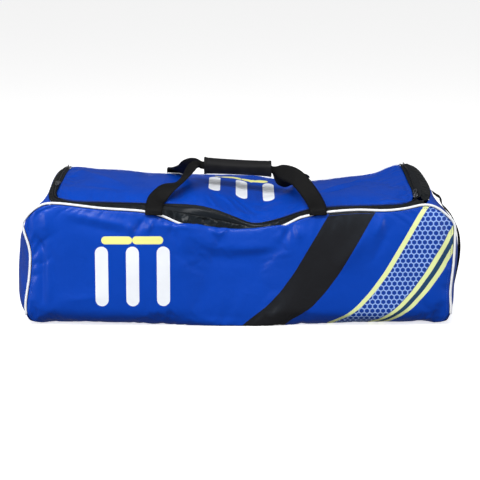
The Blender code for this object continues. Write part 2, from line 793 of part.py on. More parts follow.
def build_grip(padding, collection):
    """The wrap is a tube of padded cloth, oval in section, with its closing flap on the front."""
    left = np.array(GRIP_LEFT) * HALF_SIZES
    right = np.array(GRIP_RIGHT) * HALF_SIZES
    middle = (left + right) / 2
    along = (right - left) / np.linalg.norm(right - left)
    around = GRIP_SIDES
    rings = []
    for wall in (0.0, GRIP_WALL):
        for share, size in GRIP_STATIONS:
            for k in range(around):
                angle = 2 * math.pi * k / around
                deep = (GRIP_DEEP / 2 * size - wall) * rounded(math.cos(angle))
                tall = (GRIP_TALL / 2 * size - wall) * rounded(math.sin(angle))
                rings.append(middle + along * share * GRIP_LENGTH + np.array((0.0, deep, tall)))
    count = len(GRIP_STATIONS)
    faces = []
    for layer in range(2):
        base = layer * count * around
        for i in range(count - 1):
            for k in range(around):
                a = base + i * around + k
                b = base + i * around + (k + 1) % around
                face = (a, b, b + around, a + around)
                faces.append(face if layer == 0 else face[::-1])
    inner = count * around
    for k in range(around):
        n = (k + 1) % around
        faces.append((k, inner + k, inner + n, n))
        a = (count - 1) * around
        faces.append((a + k, a + n, inner + a + n, inner + a + k))
    add_mesh("grip_wrap", rings, faces, padding, collection)


def build_end_handle(seams, webbing, collection):
    """Webbing on the right end, sewn at both ends with a hand gap between and a small fold at its top."""
    grid = end_grid(seams, 1)
    line = grid[:, int(grid.shape[1] * END_HANDLE_ACROSS)]
    line = spread(line, even(END_HANDLE_STEPS), END_HANDLE_START, END_HANDLE_END)
    along = np.gradient(line, axis=0)
    along /= np.linalg.norm(along, axis=1)[:, None]
    side = np.tile((0.0, 1.0, 0.0), (len(line), 1))
    normal = np.cross(side, along)
    share = even(END_HANDLE_STEPS)
    bump = END_HANDLE_BUMP * np.exp(-((share - END_HANDLE_BUMP_AT) / END_HANDLE_BUMP_WIDTH) ** 2)
    loose = np.clip((share - END_HANDLE_SEWN) / (1 - 2 * END_HANDLE_SEWN), 0, 1)
    hoop = END_HANDLE_HOOP * np.sin(math.pi * loose)
    lift = END_HANDLE_LIFT + WEBBING_THICKNESS / 2 + bump + hoop
    path = line + normal * lift[:, None]
    grid = ribbon_grid(path, side, np.ones(len(path)))
    sheet_object("right_end_handle", grid, webbing, collection, WEBBING_THICKNESS, offset=0.0)


def build_slider(name, tape, index, metal, collection):
    """A slider body over the coil and a pull that lies along the band."""
    top = (tape[2, index] + tape[3, index]) / 2
    ahead = (tape[2, index + 1] + tape[3, index + 1]) / 2
    along = Vector(ahead - top).normalized()
    across = Vector(tape[-1, index] - tape[0, index])
    across = (across - along * across.dot(along)).normalized()
    up = along.cross(across).normalized()
    if up.z < 0:
        up = -up
    mesh = bmesh.new()
    body_base = Vector(top) + up * SLIDER_LIFT
    half_body = SLIDER_LENGTH / 2
    reach = half_body + PULL_LENGTH
    outline = []
    half_width = SLIDER_WIDTH / 2
    half_pull = PULL_WIDTH / 2
    profile = (
        (-half_body, half_width * SLIDER_NOSE_SHARE),
        (-half_body * SLIDER_SHOULDER_SHARE, half_width),
        (half_body * SLIDER_SHOULDER_SHARE, half_width),
        (half_body, half_pull),
        (reach - PULL_TIP, half_pull),
        (reach, half_pull * SLIDER_NOSE_SHARE),
    )
    for lift in (0.0, 1.0):
        for distance, half in profile + tuple((d, -h) for d, h in reversed(profile)):
            past_body = distance >= half_body
            low = SLIDER_HEIGHT - PULL_THICKNESS if past_body else 0.0
            height = low + (SLIDER_HEIGHT - low) * lift
            outline.append(body_base + along * distance + across * half + up * height)
    count = len(outline) // 2
    vertices = [mesh.verts.new(place) for place in outline]
    mesh.faces.new(vertices[:count][::-1])
    mesh.faces.new(vertices[count:])
    for k in range(count):
        n = (k + 1) % count
        mesh.faces.new((vertices[k], vertices[n], vertices[count + n], vertices[count + k]))
    bmesh.ops.triangulate(mesh, faces=mesh.faces[:2])
    bmesh.ops.recalc_face_normals(mesh, faces=mesh.faces)
    data = bpy.data.meshes.new(name)
    mesh.to_mesh(data)
    mesh.free()
    data.materials.append(metal)
    obj = bpy.data.objects.new(name, data)
    collection.objects.link(obj)


def centre_on_origin(collection):
    """Moves the whole bag so that the middle of its bounding box is over the origin."""
    bpy.context.view_layer.update()
    low = np.full(3, np.inf)
    high = np.full(3, -np.inf)
    graph = bpy.context.evaluated_depsgraph_get()
    for obj in collection.objects:
        shape = obj.evaluated_get(graph).to_mesh()
        places = np.array([obj.matrix_world @ v.co for v in shape.vertices])
        low = np.minimum(low, places.min(axis=0))
        high = np.maximum(high, places.max(axis=0))
        obj.evaluated_get(graph).to_mesh_clear()
    shift = Vector((-(low[0] + high[0]) / 2, -(low[1] + high[1]) / 2, -low[2]))
    for obj in collection.objects:
        obj.location += shift


def main():
    clear_scene()
    collection = make_collection("cricket_kit_bag")
    blue = make_material("coated_polyester_blue", (0.006, 0.066, 0.485), 0.42)
    base_blue = make_material("coated_polyester_base", (0.006, 0.066, 0.485), 0.50)
    black = make_material("coated_polyester_black", (0.013, 0.014, 0.018), 0.50)
    tape = make_material("zip_tape_black", (0.008, 0.008, 0.010), 0.60)
    white = make_material("piping_white", (0.85, 0.87, 0.90), 0.45)
    webbing = make_material("webbing_black", (0.012, 0.011, 0.011), 0.65)
    padding = make_material("grip_cloth_black", (0.020, 0.020, 0.021), 0.60)
    metal = make_material("slider_metal", (0.45, 0.45, 0.47), 0.30, 1.0)
    seams = Seams()
    build_faces(seams, blue, base_blue, collection)
    build_ends(seams, blue, collection)
    build_lid(seams, blue, collection)
    tape_rows = build_band(seams, black, tape, collection)
    build_piping(seams, white, collection)
    build_straps(webbing, collection)
    build_grip(padding, collection)
    build_end_handle(seams, webbing, collection)
    build_slider("zip_slider_left", tape_rows, LEFT_SLIDER_STEP, metal, collection)
    build_slider("zip_slider_right", tape_rows, RIGHT_SLIDER_STEP, metal, collection)
    centre_on_origin(collection)


main()
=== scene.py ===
# %% [markdown]
# # A cricket kit bag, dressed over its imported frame
# The frame is the plain model that a physics program uses: each panel of the bag is a rigid sheet.
# Here each sheet gets what the eye expects of it: folds, seams, weave, print and gloss. Everything is in
# metres. X runs along the bag, -Y comes out of the printed front and Z is up.

# %% Load the frame
import math

import bmesh
import bpy
import numpy as np
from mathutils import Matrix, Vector


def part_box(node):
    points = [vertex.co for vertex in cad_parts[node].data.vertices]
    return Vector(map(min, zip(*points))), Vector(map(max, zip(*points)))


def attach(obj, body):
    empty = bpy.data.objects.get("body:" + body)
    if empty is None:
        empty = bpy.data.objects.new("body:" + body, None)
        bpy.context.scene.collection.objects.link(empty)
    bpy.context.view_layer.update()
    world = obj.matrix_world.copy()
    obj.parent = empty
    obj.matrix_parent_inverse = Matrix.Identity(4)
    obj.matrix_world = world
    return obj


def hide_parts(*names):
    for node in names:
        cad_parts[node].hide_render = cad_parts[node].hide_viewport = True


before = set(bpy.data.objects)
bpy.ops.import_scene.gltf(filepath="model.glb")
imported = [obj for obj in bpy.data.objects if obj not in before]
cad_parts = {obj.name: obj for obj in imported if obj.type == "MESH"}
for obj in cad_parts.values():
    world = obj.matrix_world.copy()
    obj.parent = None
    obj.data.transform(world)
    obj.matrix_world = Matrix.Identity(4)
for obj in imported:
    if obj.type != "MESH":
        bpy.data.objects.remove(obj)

bpy.context.view_layer.update()
scene = bpy.context.scene

# %% [markdown]
# ## Camera, light and floor
# The photo was taken from in front of the bag and a little above it, with a long lens, so the sides run
# almost parallel. A product photo has a large soft light over the front, weaker ones above and at both
# sides, and white paper all round. The paper is a pale floor and a bright world, and the softness comes
# from lights that are about as large as the bag.

# %% Camera
CAMERA_PLACE = (0.0027, -3.1265, 0.9724)
CAMERA_TILT = 75.21
CAMERA_LENS = 110.7

camera_data = bpy.data.cameras.new("camera")
camera_data.lens = CAMERA_LENS
camera_data.sensor_width = 36.0
camera = bpy.data.objects.new("camera", camera_data)
camera.location = CAMERA_PLACE
camera.rotation_euler = (math.radians(CAMERA_TILT), 0.0, 0.0)
scene.collection.objects.link(camera)
scene.camera = camera
scene.view_settings.view_transform = "Standard"


# %% Colours from hex and one function for nodes
def linear(code):
    """The linear colour of an sRGB hex code such as "#0d46b9"."""
    shares = [int(code[i:i + 2], 16) / 255 for i in (1, 3, 5)]
    return tuple(c / 12.92 if c <= 0.04045 else ((c + 0.055) / 1.055) ** 2.4 for c in shares) + (1.0,)


def add(tree, kind, inputs=None, **settings):
    """Adds a node to a tree. An input is given a value, or the output socket that feeds it."""
    made = tree.nodes.new(kind)
    for name, value in settings.items():
        setattr(made, name, value)
    for key, value in (inputs or {}).items():
        if isinstance(value, bpy.types.NodeSocket):
            tree.links.new(value, made.inputs[key])
        else:
            made.inputs[key].default_value = value
    return made


# %% Four lights and a white world
# name, place, size, power in watts
LIGHTS = (
    ("key light", (-0.40, -1.45, 2.00), (2.0, 0.5), 47.0),
    ("top light", (0.25, 0.10, 2.20), (2.2, 0.6), 6.0),
    ("left side light", (-2.10, -1.70, 0.80), (0.9, 1.2), 26.0),
    ("right side light", (2.20, -1.60, 0.80), (0.9, 1.2), 17.0),
)
for name, place, size, watts in LIGHTS:
    data = bpy.data.lights.new(name, "AREA")
    data.shape = "RECTANGLE"
    data.size, data.size_y = size
    data.energy = watts
    light = bpy.data.objects.new(name, data)
    light.location = place
    aim = Vector((0.0, 0.0, 0.12)) - Vector(place)
    light.rotation_euler = aim.to_track_quat("-Z", "Y").to_euler()
    scene.collection.objects.link(light)

world = bpy.data.worlds.new("studio")
scene.world = world
world.use_nodes = True
sky = world.node_tree
direction = add(sky, "ShaderNodeTexCoord").outputs["Generated"]
upward = add(sky, "ShaderNodeSeparateXYZ", {0: direction})
# The sky is a little brighter than the paper under it
PAPER_GLOW, SKY_GLOW = 0.17, 0.22
glow = add(sky, "ShaderNodeMapRange", {0: upward.outputs[2], 1: -1.0, 2: 1.0, 3: PAPER_GLOW, 4: SKY_GLOW})
sky.links.new(glow.outputs[0], sky.nodes["Background"].inputs["Strength"])
sky.nodes["Background"].inputs["Color"].default_value = linear("#ffffff")


# %% Floor
def new_material(name):
    """An empty material with its Principled shader, returned with its tree."""
    material = bpy.data.materials.new(name)
    material.use_nodes = True
    return material, material.node_tree, material.node_tree.nodes["Principled BSDF"]


FLOOR_HALF = 30.0
FLOOR_DROP = 0.0005
floor_mesh = bpy.data.meshes.new("floor")
corners = [(x * FLOOR_HALF, y * FLOOR_HALF, -FLOOR_DROP) for x, y in ((-1, -1), (1, -1), (1, 1), (-1, 1))]
floor_mesh.from_pydata(corners, [], [(0, 1, 2, 3)])
floor = bpy.data.objects.new("floor", floor_mesh)
scene.collection.objects.link(floor)
paper, paper_tree, paper_shader = new_material("white_paper")
paper_shader.inputs["Base Color"].default_value = linear("#fbfbfb")
paper_shader.inputs["Roughness"].default_value = 0.9
paper_shader.inputs["Emission Color"].default_value = linear("#ffffff")
paper_shader.inputs["Emission Strength"].default_value = 0.68
floor_mesh.materials.append(paper)
floor.visible_diffuse = False
floor.visible_glossy = False

# %% [markdown]
# ## From a rigid sheet to a fine grid of points
# Each node of the frame is a thin closed sheet of triangles. Its outer skin was a grid of rows and columns
# once, and a grid is the best start for cloth, because folds, a weave and a print all follow rows
# and columns. The faces of the rim have an edge as long as the sheet is thick. Without them the outer
# and the inner skin come apart, and a walk from face to face collects the outer one. Its rows are found
# one after another: the points next to a known row are the next row. The piece then lies where the
# frame says, with nothing to fit.


# %% The outer skin of a node
# Points nearer than this are one point, and an edge this close to the thickness crosses the rim
MERGE_DISTANCE = 0.00002
RIM_SLACK = 0.000002


def outer_skin(name, outside, thickness):
    """A bmesh of one skin of a thin sheet: the one nearest to a point outside the bag."""
    skin = bmesh.new()
    skin.from_mesh(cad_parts[name].data)
    bmesh.ops.remove_doubles(skin, verts=skin.verts, dist=MERGE_DISTANCE)
    across = {e for e in skin.edges if abs(e.calc_length() - thickness) < RIM_SLACK}
    rim = [f for f in skin.faces if across.intersection(f.edges)]
    bmesh.ops.delete(skin, geom=rim, context="FACES")
    start = min(skin.faces, key=lambda f: (f.calc_center_median() - Vector(outside)).length)
    kept, front = {start}, [start]
    while front:
        for edge in front.pop().edges:
            new = [other for other in edge.link_faces if other not in kept]
            kept.update(new)
            front += new
    bmesh.ops.delete(skin, geom=[f for f in skin.faces if f not in kept], context="FACES")
    return skin


def walk(points, links):
    """Puts a set of linked points in the order of their path."""
    points = set(points)
    ends = [p for p in points if sum(q in points for q in links[p]) < 2]
    path = [min(ends or points)]
    points.discard(path[0])
    while points:
        ahead = [q for q in links[path[-1]] if q in points]
        if not ahead:
            break
        path.append(ahead[0])
        points.discard(ahead[0])
    return path


def rows_of(name, outside, thickness, first_row):
    """The skin of a node as rows of points, from the row whose points first_row accepts."""
    skin = outer_skin(name, outside, thickness)
    skin.verts.index_update()
    skin.verts.ensure_lookup_table()
    places = np.array([v.co for v in skin.verts])
    links = [[e.other_vert(v).index for e in v.link_edges] for v in skin.verts]
    row = walk([v.index for v in skin.verts if v.is_boundary and first_row(v.co)], links)
    rows, seen = [row], set(row)
    while True:
        ahead = {q for p in rows[-1] for q in links[p]} - seen
        if not ahead:
            break
        rows.append(walk(ahead, links))
        seen |= ahead
    skin.free()
    width = len(rows[0])
    grid = []
    for row in rows:
        line = places[row]
        if grid and np.linalg.norm(line[0] - grid[-1][0]) > np.linalg.norm(line[-1] - grid[-1][0]):
            line = line[::-1]
        if len(line) == width - 2:
            line = np.vstack(((line[0] + grid[-1][0]) / 2, line, (line[-1] + grid[-1][-1]) / 2))
        grid.append(line)
    sizes = sorted({len(line) for line in grid})
    print(name, "rows", len(grid), "columns", sizes)
    return np.array([line for line in grid if len(line) == width])


END_FOOT_MIDDLE, END_FOOT_HALF = -0.0016, 0.1058
HANDLE_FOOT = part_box("right_end_handle")[0].z + 0.002


def at_end_foot(p):
    """Whether a point is on the foot of an end panel."""
    return p.z < 0.0015 and abs(p.y - END_FOOT_MIDDLE) < END_FOOT_HALF


# a point outside the skin, the thickness of the sheet, and how its first row is known
SHEETS = {
    "front_panel": ((0.0, -0.3, 0.1), 0.002, lambda p: p.z < 0.0006 and p.y > -0.1125),
    "back_panel": ((0.0, 0.3, 0.1), 0.002, lambda p: p.z < 0.0006 and p.y < 0.1090),
    "left_end_panel": ((-0.7, 0.0, 0.1), 0.002, at_end_foot),
    "right_end_panel": ((0.7, 0.0, 0.1), 0.002, at_end_foot),
    "lid_panel": ((0.0, 0.0, 0.5), 0.002, lambda p: p.y > 0.139),
    "top_gusset": ((-0.3, -0.13, 0.5), 0.002, lambda p: p.y > 0.138 and p.x < 0),
    "zip_tape": ((-0.3, -0.12, 0.5), 0.0008, lambda p: p.y > 0.138 and p.x < 0),
    "front_handle_strap": ((-0.1805, -0.40, 0.247), 0.0018, lambda p: p.z < 0.2430 and p.x < 0),
    "rear_handle_strap": ((0.138, 0.40, 0.245), 0.0018, lambda p: p.z < 0.2590 and p.x < 0),
    "right_end_handle": ((0.80, -0.002, 0.10), 0.0018, lambda p: p.z < HANDLE_FOOT),
}
grids = {name: rows_of(name, *how) for name, how in SHEETS.items()}

# %% [markdown]
# ## Finer rows, and a mesh from them
# The frame's rows stand 10 to 20 mm apart, which is too coarse for a fold. A Catmull-Rom curve runs
# through every point it is given, so it adds points between them without moving the seams. The fine grid
# becomes quads with a UV map in metres, so a weave or a stripe has its real size on
# every panel, and Solidify gives the cloth its thickness towards the inside of the bag.


# %% Curves through points
def smooth(points, count):
    """count + 1 points on a Catmull-Rom curve through rows of points."""
    places = np.linspace(0, len(points) - 1, count + 1)
    first = np.minimum(places.astype(int), len(points) - 2)
    share = (places - first).reshape((-1,) + (1,) * (points.ndim - 1))
    ends = np.concatenate((2 * points[:1] - points[1:2], points, 2 * points[-1:] - points[-2:-1]))
    a, b, c, d = (ends[first + k] for k in range(4))
    bend = 2 * a - 5 * b + 4 * c - d
    return 0.5 * (2 * b + (c - a) * share + bend * share ** 2 + (3 * b - a - 3 * c + d) * share ** 3)


def lengths(points):
    """Distance along a line of points, from its first point."""
    return np.concatenate(((0.0,), np.cumsum(np.linalg.norm(np.diff(points, axis=0), axis=1))))


def softened(values, reach):
    """Values averaged over reach places on either side of each."""
    count = 2 * reach + 1
    return np.convolve(np.pad(values, reach, mode="edge"), np.ones(count) / count, "valid")


def spread(points, places):
    """Points of a line at distances along it."""
    run = lengths(points)
    return np.column_stack([np.interp(places, run, points[:, k]) for k in range(points.shape[1])])


def refine(grid, rows, columns):
    """The same sheet with more rows and columns, evenly spread along each of them."""
    fine = smooth(smooth(grid, 2 * rows).transpose(1, 0, 2), 2 * columns).transpose(1, 0, 2)
    fine = np.array([spread(line, np.linspace(0, lengths(line)[-1], columns + 1)) for line in fine])
    turned = fine.transpose(1, 0, 2)
    upright = [spread(line, np.linspace(0, lengths(line)[-1], rows + 1)) for line in turned]
    return np.array(upright).transpose(1, 0, 2)


BAG_MIDDLE = np.array((0.0, 0.0, 0.13))


def outward(grid):
    """Unit normals of a sheet, turned away from the middle of the bag."""
    normals = np.cross(np.gradient(grid, axis=1), np.gradient(grid, axis=0))
    normals /= np.maximum(np.linalg.norm(normals, axis=2), 1e-12)[..., None]
    facing = ((grid - BAG_MIDDLE) * normals).sum()
    return normals if facing > 0 else -normals


# %% A mesh from a grid
def panel_uv(grid):
    """UV places in metres: along each row, and up each column."""
    along = np.array([lengths(line) for line in grid])
    up = np.array([lengths(line) for line in grid.transpose(1, 0, 2)]).T
    return np.stack((along - along.mean(axis=1, keepdims=True), up), axis=2)


def add_uv(piece, name, places):
    """Gives a piece a UV map from one place for each of its points."""
    layer = piece.data.uv_layers.new(name=name)
    corners = np.zeros(len(piece.data.loops), int)
    piece.data.loops.foreach_get("vertex_index", corners)
    layer.data.foreach_set("uv", places.reshape(-1, 2)[corners].astype(np.float32).ravel())


def sheet_mesh(name, grid, uv=None):
    """An object of quads over a grid, its faces turned outwards, with its UV map in metres."""
    rows, columns = grid.shape[:2]
    index = np.arange(rows * columns).reshape(rows, columns)
    corners = (index[:-1, :-1], index[:-1, 1:], index[1:, 1:], index[1:, :-1])
    quads = np.stack(corners, axis=2).reshape(-1, 4)
    across = np.cross(grid[:-1, 1:] - grid[:-1, :-1], grid[1:, :-1] - grid[:-1, :-1])
    if (across * outward(grid)[:-1, :-1]).sum() < 0:
        quads = quads[:, ::-1]
    mesh = bpy.data.meshes.new(name)
    mesh.from_pydata(grid.reshape(-1, 3).tolist(), [], quads.tolist())
    mesh.shade_smooth()
    piece = bpy.data.objects.new(name, mesh)
    scene.collection.objects.link(piece)
    add_uv(piece, "cloth", panel_uv(grid) if uv is None else uv)
    return piece


# How thick the cloth is drawn, in metres
PANEL_CLOTH, THIN_CLOTH, TAPE_CLOTH = 0.0016, 0.0014, 0.0007


def thicken(piece, thickness):
    """Gives a sheet a second skin towards the inside of the bag."""
    wall = piece.modifiers.new("thickness", "SOLIDIFY")
    wall.thickness = thickness
    wall.offset = -1.0


def dress(piece, material, slot, *nodes):
    """Gives a piece its finish and its place in the frame."""
    piece.data.materials.clear()
    piece.data.materials.append(material)
    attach(piece, "root")
    if nodes:
        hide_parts(*nodes)
    return piece


def cut_cloth(grid):
    """Works out a panel's flat places in metres; the result is not kept or used."""
    places = panel_uv(grid)


# %% [markdown]
# ## Cloth that settles
# A filled bag isn't smooth: the cloth is a little too long for the shape under it, most of all beside the
# seams, where the sewing thread gathers it. Blender's Cloth does that by itself. Each panel is held
# along its edges, grows by a small share, and is pushed out by a light pressure. After twenty frames the
# points are read back, and none is let further from its first place than a cap, so the panel
# keeps the form of the frame.


# %% Let a panel settle
SETTLE_FRAMES = 20
GROUND_GAP = 0.0004


def seam_distance(grid):
    """Distance in metres of each point from the nearest edge of its sheet."""
    uv = panel_uv(grid)
    left = uv[:, :, 0] - uv[:, :1, 0]
    right = uv[:, -1:, 0] - uv[:, :, 0]
    up = uv[:, :, 1]
    down = uv[-1:, :, 1] - up
    return np.minimum(np.minimum(left, right), np.minimum(up, down))


def settle(grid, pressure, slack, cap, reach=0.07):
    """The sheet after a short cloth simulation; slack is how far it grows beside its seams."""
    piece = sheet_mesh("settling", grid)
    near = seam_distance(grid).ravel()
    held = piece.vertex_groups.new(name="held")
    loose = piece.vertex_groups.new(name="loose")
    for index, distance in enumerate(near):
        held.add([index], 1.0 if distance < 1e-5 else 0.0, "REPLACE")
        loose.add([index], math.exp(-distance / reach), "REPLACE")
    cloth = piece.modifiers.new("cloth", "CLOTH")
    cloth.settings.quality = 4
    cloth.settings.mass = 0.3
    cloth.settings.tension_stiffness = 15
    cloth.settings.compression_stiffness = 15
    cloth.settings.shear_stiffness = 5
    cloth.settings.bending_stiffness = 0.6
    cloth.settings.use_pressure = True
    cloth.settings.uniform_pressure_force = pressure
    cloth.settings.vertex_group_mass = "held"
    cloth.settings.vertex_group_shrink = "loose"
    cloth.settings.shrink_min = -slack * 0.25
    cloth.settings.shrink_max = -slack
    cloth.settings.effector_weights.gravity = 0.0
    cloth.point_cache.frame_end = SETTLE_FRAMES
    for frame_number in range(1, SETTLE_FRAMES + 1):
        scene.frame_set(frame_number)
    settled = piece.evaluated_get(bpy.context.evaluated_depsgraph_get())
    places = np.zeros(len(piece.data.vertices) * 3)
    settled.data.vertices.foreach_get("co", places)
    moved = places.reshape(grid.shape) - grid
    bpy.data.objects.remove(piece, do_unlink=True)
    scene.frame_set(1)
    far = np.maximum(np.linalg.norm(moved, axis=2, keepdims=True), 1e-9)
    mean, most = round(float(far.mean()) * 1000, 2), round(float(far.max()) * 1000, 2)
    print("settled: mean", mean, "mm, most", most, "mm")
    settled_grid = grid + moved / far * cap * np.tanh(far / cap)
    settled_grid[:, :, 2] = np.maximum(settled_grid[:, :, 2], np.minimum(grid[:, :, 2], GROUND_GAP))
    return settled_grid


# %% Folds that the photo shows
# A fold's height at its ends, as a share of its middle, and how wide the seams hold it flat
FOLD_END_SHARE = 0.35
SEAM_FADE = 0.006


def fold(grid, lines, flat_axis=1):
    """Raises or sinks folds along lines. A line has two ends, a width and a height, in metres.

    The ends are given on a plane: x and z for flat_axis 1, x and y for flat_axis 2, y and z for 0.
    """
    keep = [k for k in range(3) if k != flat_axis]
    flat = grid[:, :, keep]
    rise = np.zeros(grid.shape[:2])
    for ax, ay, bx, by, width, height in lines:
        start, step = np.array((ax, ay)), np.array((bx - ax, by - ay))
        share = ((flat - start) @ step) / (step @ step)
        away = np.linalg.norm(flat - start - np.clip(share, 0, 1)[..., None] * step, axis=2)
        arch = np.sin(math.pi * np.clip(share, 0, 1)) ** 0.7
        taper = FOLD_END_SHARE + (1 - FOLD_END_SHARE) * arch
        rise += height * taper * np.exp(-np.abs(away / width) ** 1.5)
    return grid + outward(grid) * (rise * np.clip(seam_distance(grid) / SEAM_FADE, 0, 1))[..., None]


# %% [markdown]
# ## Coated polyester
# The bag is sewn from woven polyester with a thin plastic coating behind it. The eye gets a strong,
# slightly uneven blue, a soft wide gloss on every crest, and a weave that shows only close by. The
# threads of such cloth are about 0.6 mm apart, finer than a pixel of the render, so the weave is drawn
# at 1.4 mm. A noise with 26 mm features adds the small dents that handling leaves in the coating.

# %% Cloth materials
THREAD_MM = 1.4
THREAD_HEIGHT = 0.00022
DENT_MM = 26.0


def weave(tree, uv, across_mm=THREAD_MM, along_mm=THREAD_MM):
    """Height of a plain weave: two sets of threads that pass over each other."""
    split = add(tree, "ShaderNodeSeparateXYZ", {0: uv})
    heights = []
    for axis, wave_mm in enumerate((across_mm, along_mm)):
        turns = 2 * math.pi * 1000 / wave_mm
        turn = add(tree, "ShaderNodeMath", {0: split.outputs[axis], 1: turns}, operation="MULTIPLY")
        heights.append(add(tree, "ShaderNodeMath", {0: turn.outputs[0]}, operation="SINE").outputs[0])
    return add(tree, "ShaderNodeMath", {0: heights[0], 1: heights[1]}, operation="MULTIPLY").outputs[0]


def cloth_surface(
    tree, shader, uv, color, rough=(0.36, 0.52), dent_height=0.0016, thread_mm=THREAD_MM, coat=0.22,
):
    """Colour, uneven gloss, dents and weave of a coated cloth."""
    tree.links.new(color, shader.inputs["Base Color"])
    uneven = add(tree, "ShaderNodeTexNoise", {"Vector": uv, "Scale": 1000 / DENT_MM / 2, "Detail": 3.0})
    gloss = add(tree, "ShaderNodeMapRange", {0: uneven.outputs[0], 3: rough[0], 4: rough[1]})
    tree.links.new(gloss.outputs[0], shader.inputs["Roughness"])
    dents = add(tree, "ShaderNodeTexNoise", {
        "Vector": uv, "Scale": 1000 / DENT_MM, "Detail": 2.5, "Distortion": 0.6,
    })
    dented = add(tree, "ShaderNodeBump", {
        "Strength": 0.55, "Distance": dent_height, "Height": dents.outputs[0],
    })
    woven = add(tree, "ShaderNodeBump", {
        "Strength": 0.35, "Distance": THREAD_HEIGHT,
        "Height": weave(tree, uv, thread_mm, thread_mm), "Normal": dented.outputs[0],
    })
    tree.links.new(woven.outputs[0], shader.inputs["Normal"])
    shader.inputs["Specular IOR Level"].default_value = 0.15
    shader.inputs["Specular Tint"].default_value = linear("#b4dcff")
    shader.inputs["Coat Weight"].default_value = coat
    shader.inputs["Coat Roughness"].default_value = 0.24


def uneven_color(tree, uv, low, high, patch_mm=90.0):
    """Two near shades of one dye, mixed by large soft patches."""
    patches = add(tree, "ShaderNodeTexNoise", {"Vector": uv, "Scale": 1000 / patch_mm, "Detail": 3.0})
    shades = {0: patches.outputs[0], 6: linear(low), 7: linear(high)}
    return add(tree, "ShaderNodeMix", shades, data_type="RGBA").outputs[2]


BLUE_SHADES = ("#053da8", "#0746bb")
BLACK_SHADES = ("#0b0c0d", "#131415")
blue_cloth, tree, shader = new_material("woven_polyester_coated_blue")
uv = add(tree, "ShaderNodeUVMap", uv_map="cloth").outputs[0]
cloth_surface(tree, shader, uv, uneven_color(tree, uv, *BLUE_SHADES))

black_cloth, tree, shader = new_material("woven_polyester_coated_black")
uv = add(tree, "ShaderNodeUVMap", uv_map="cloth").outputs[0]
cloth_surface(tree, shader, uv, uneven_color(tree, uv, *BLACK_SHADES), rough=(0.42, 0.60))
print("cloth materials:", blue_cloth.name, black_cloth.name)

# %% [markdown]
# ## The printed front
# The stripes are straight in the flat pattern piece, and lean like a hand-written stroke. So they are
# drawn in a second UV map of the panel, the print map. Its u is the distance along the bag, less how
# far the stripes have moved along it at that height, and its v is the distance up the cloth, so they
# bend under the bag with the panel. One number, the u of that map, drives a colour ramp with hard
# steps, which is quick to read and to change: a stripe is one row of a table.
# The pale cells in the middle band are a hexagon grid, from two offset rectangular grids, of which the
# nearer centre wins.

# %% Stripe table
STRIPE_RANGE = 0.60
# place along the bag in metres, at 0.12 m above the ground, where a colour starts, and the colour
STRIPES = (
    (0.0000, "#0642b4"),
    (0.1164, "#1f1e20"),
    (0.2099, "#0642b4"),
    (0.3009, "#f0f9b0"),
    (0.3139, "#1a3f9f"),
    (0.3874, "#f0f9b0"),
    (0.3989, "#27496f"),
    (0.4104, "#f0f9b0"),
    (0.4219, "#0642b4"),
)
CELLS_START, CELLS_END = 0.3139, 0.3874
# How far the stripes have moved along the bag at a height: they lean less near the foot, where the
# cloth is pulled under
STRIPE_HEIGHTS = (0.000, 0.045, 0.080, 0.120, 0.300)
STRIPE_SHIFTS = (-0.1148, -0.0585, -0.0280, 0.0000, 0.1026)
CELL_PITCH = 0.0112
CELL_LINE_SHARE = 0.105
CELL_LINE_BLUR = 0.0004

# %% Printed cloth material
printed_cloth, tree, shader = new_material("woven_polyester_printed")
uv = add(tree, "ShaderNodeUVMap", uv_map="cloth").outputs[0]
print_uv = add(tree, "ShaderNodeUVMap", uv_map="print").outputs[0]
across = add(tree, "ShaderNodeSeparateXYZ", {0: print_uv}).outputs[0]
share = add(tree, "ShaderNodeMath", {0: across, 1: 1 / STRIPE_RANGE}, operation="MULTIPLY")
stripes = add(tree, "ShaderNodeValToRGB", {0: share.outputs[0]})
stripes.color_ramp.interpolation = "CONSTANT"
for _ in STRIPES[2:]:
    stripes.color_ramp.elements.new(0.999)
for step, (start, color) in zip(stripes.color_ramp.elements, STRIPES):
    step.position = start / STRIPE_RANGE
    step.color = linear(color)

# %% Hexagon cells
cell_size = (CELL_PITCH, CELL_PITCH * math.sqrt(3), 1.0)
half_cell = tuple(c / 2 for c in cell_size)
centres = []
for offset in ((0.0, 0.0, 0.0), half_cell):
    positive = tuple(o + 10 * c for o, c in zip(offset, cell_size))
    moved = add(tree, "ShaderNodeVectorMath", {0: uv, 1: positive}, operation="ADD")
    inside = add(tree, "ShaderNodeVectorMath", {0: moved.outputs[0], 1: cell_size}, operation="MODULO")
    centred = add(tree, "ShaderNodeVectorMath", {0: inside.outputs[0], 1: half_cell}, operation="SUBTRACT")
    flat = add(tree, "ShaderNodeVectorMath", {
        0: centred.outputs[0], 1: (1.0, 1.0, 0.0),
    }, operation="MULTIPLY")
    size = add(tree, "ShaderNodeVectorMath", {0: flat.outputs[0]}, operation="LENGTH")
    centres.append((flat.outputs[0], size.outputs["Value"]))
nearer = add(tree, "ShaderNodeMath", {0: centres[0][1], 1: centres[1][1]}, operation="LESS_THAN")
pick = add(tree, "ShaderNodeMix", {
    0: nearer.outputs[0], 4: centres[1][0], 5: centres[0][0],
}, data_type="VECTOR")
cell = add(tree, "ShaderNodeVectorMath", {0: pick.outputs[1]}, operation="ABSOLUTE")
slanted = add(tree, "ShaderNodeVectorMath", {
    0: cell.outputs[0], 1: (0.5, math.sqrt(3) / 2, 0.0),
}, operation="DOT_PRODUCT")
straight = add(tree, "ShaderNodeSeparateXYZ", {0: cell.outputs[0]})
reach = add(tree, "ShaderNodeMath", {
    0: slanted.outputs["Value"], 1: straight.outputs[0],
}, operation="MAXIMUM")
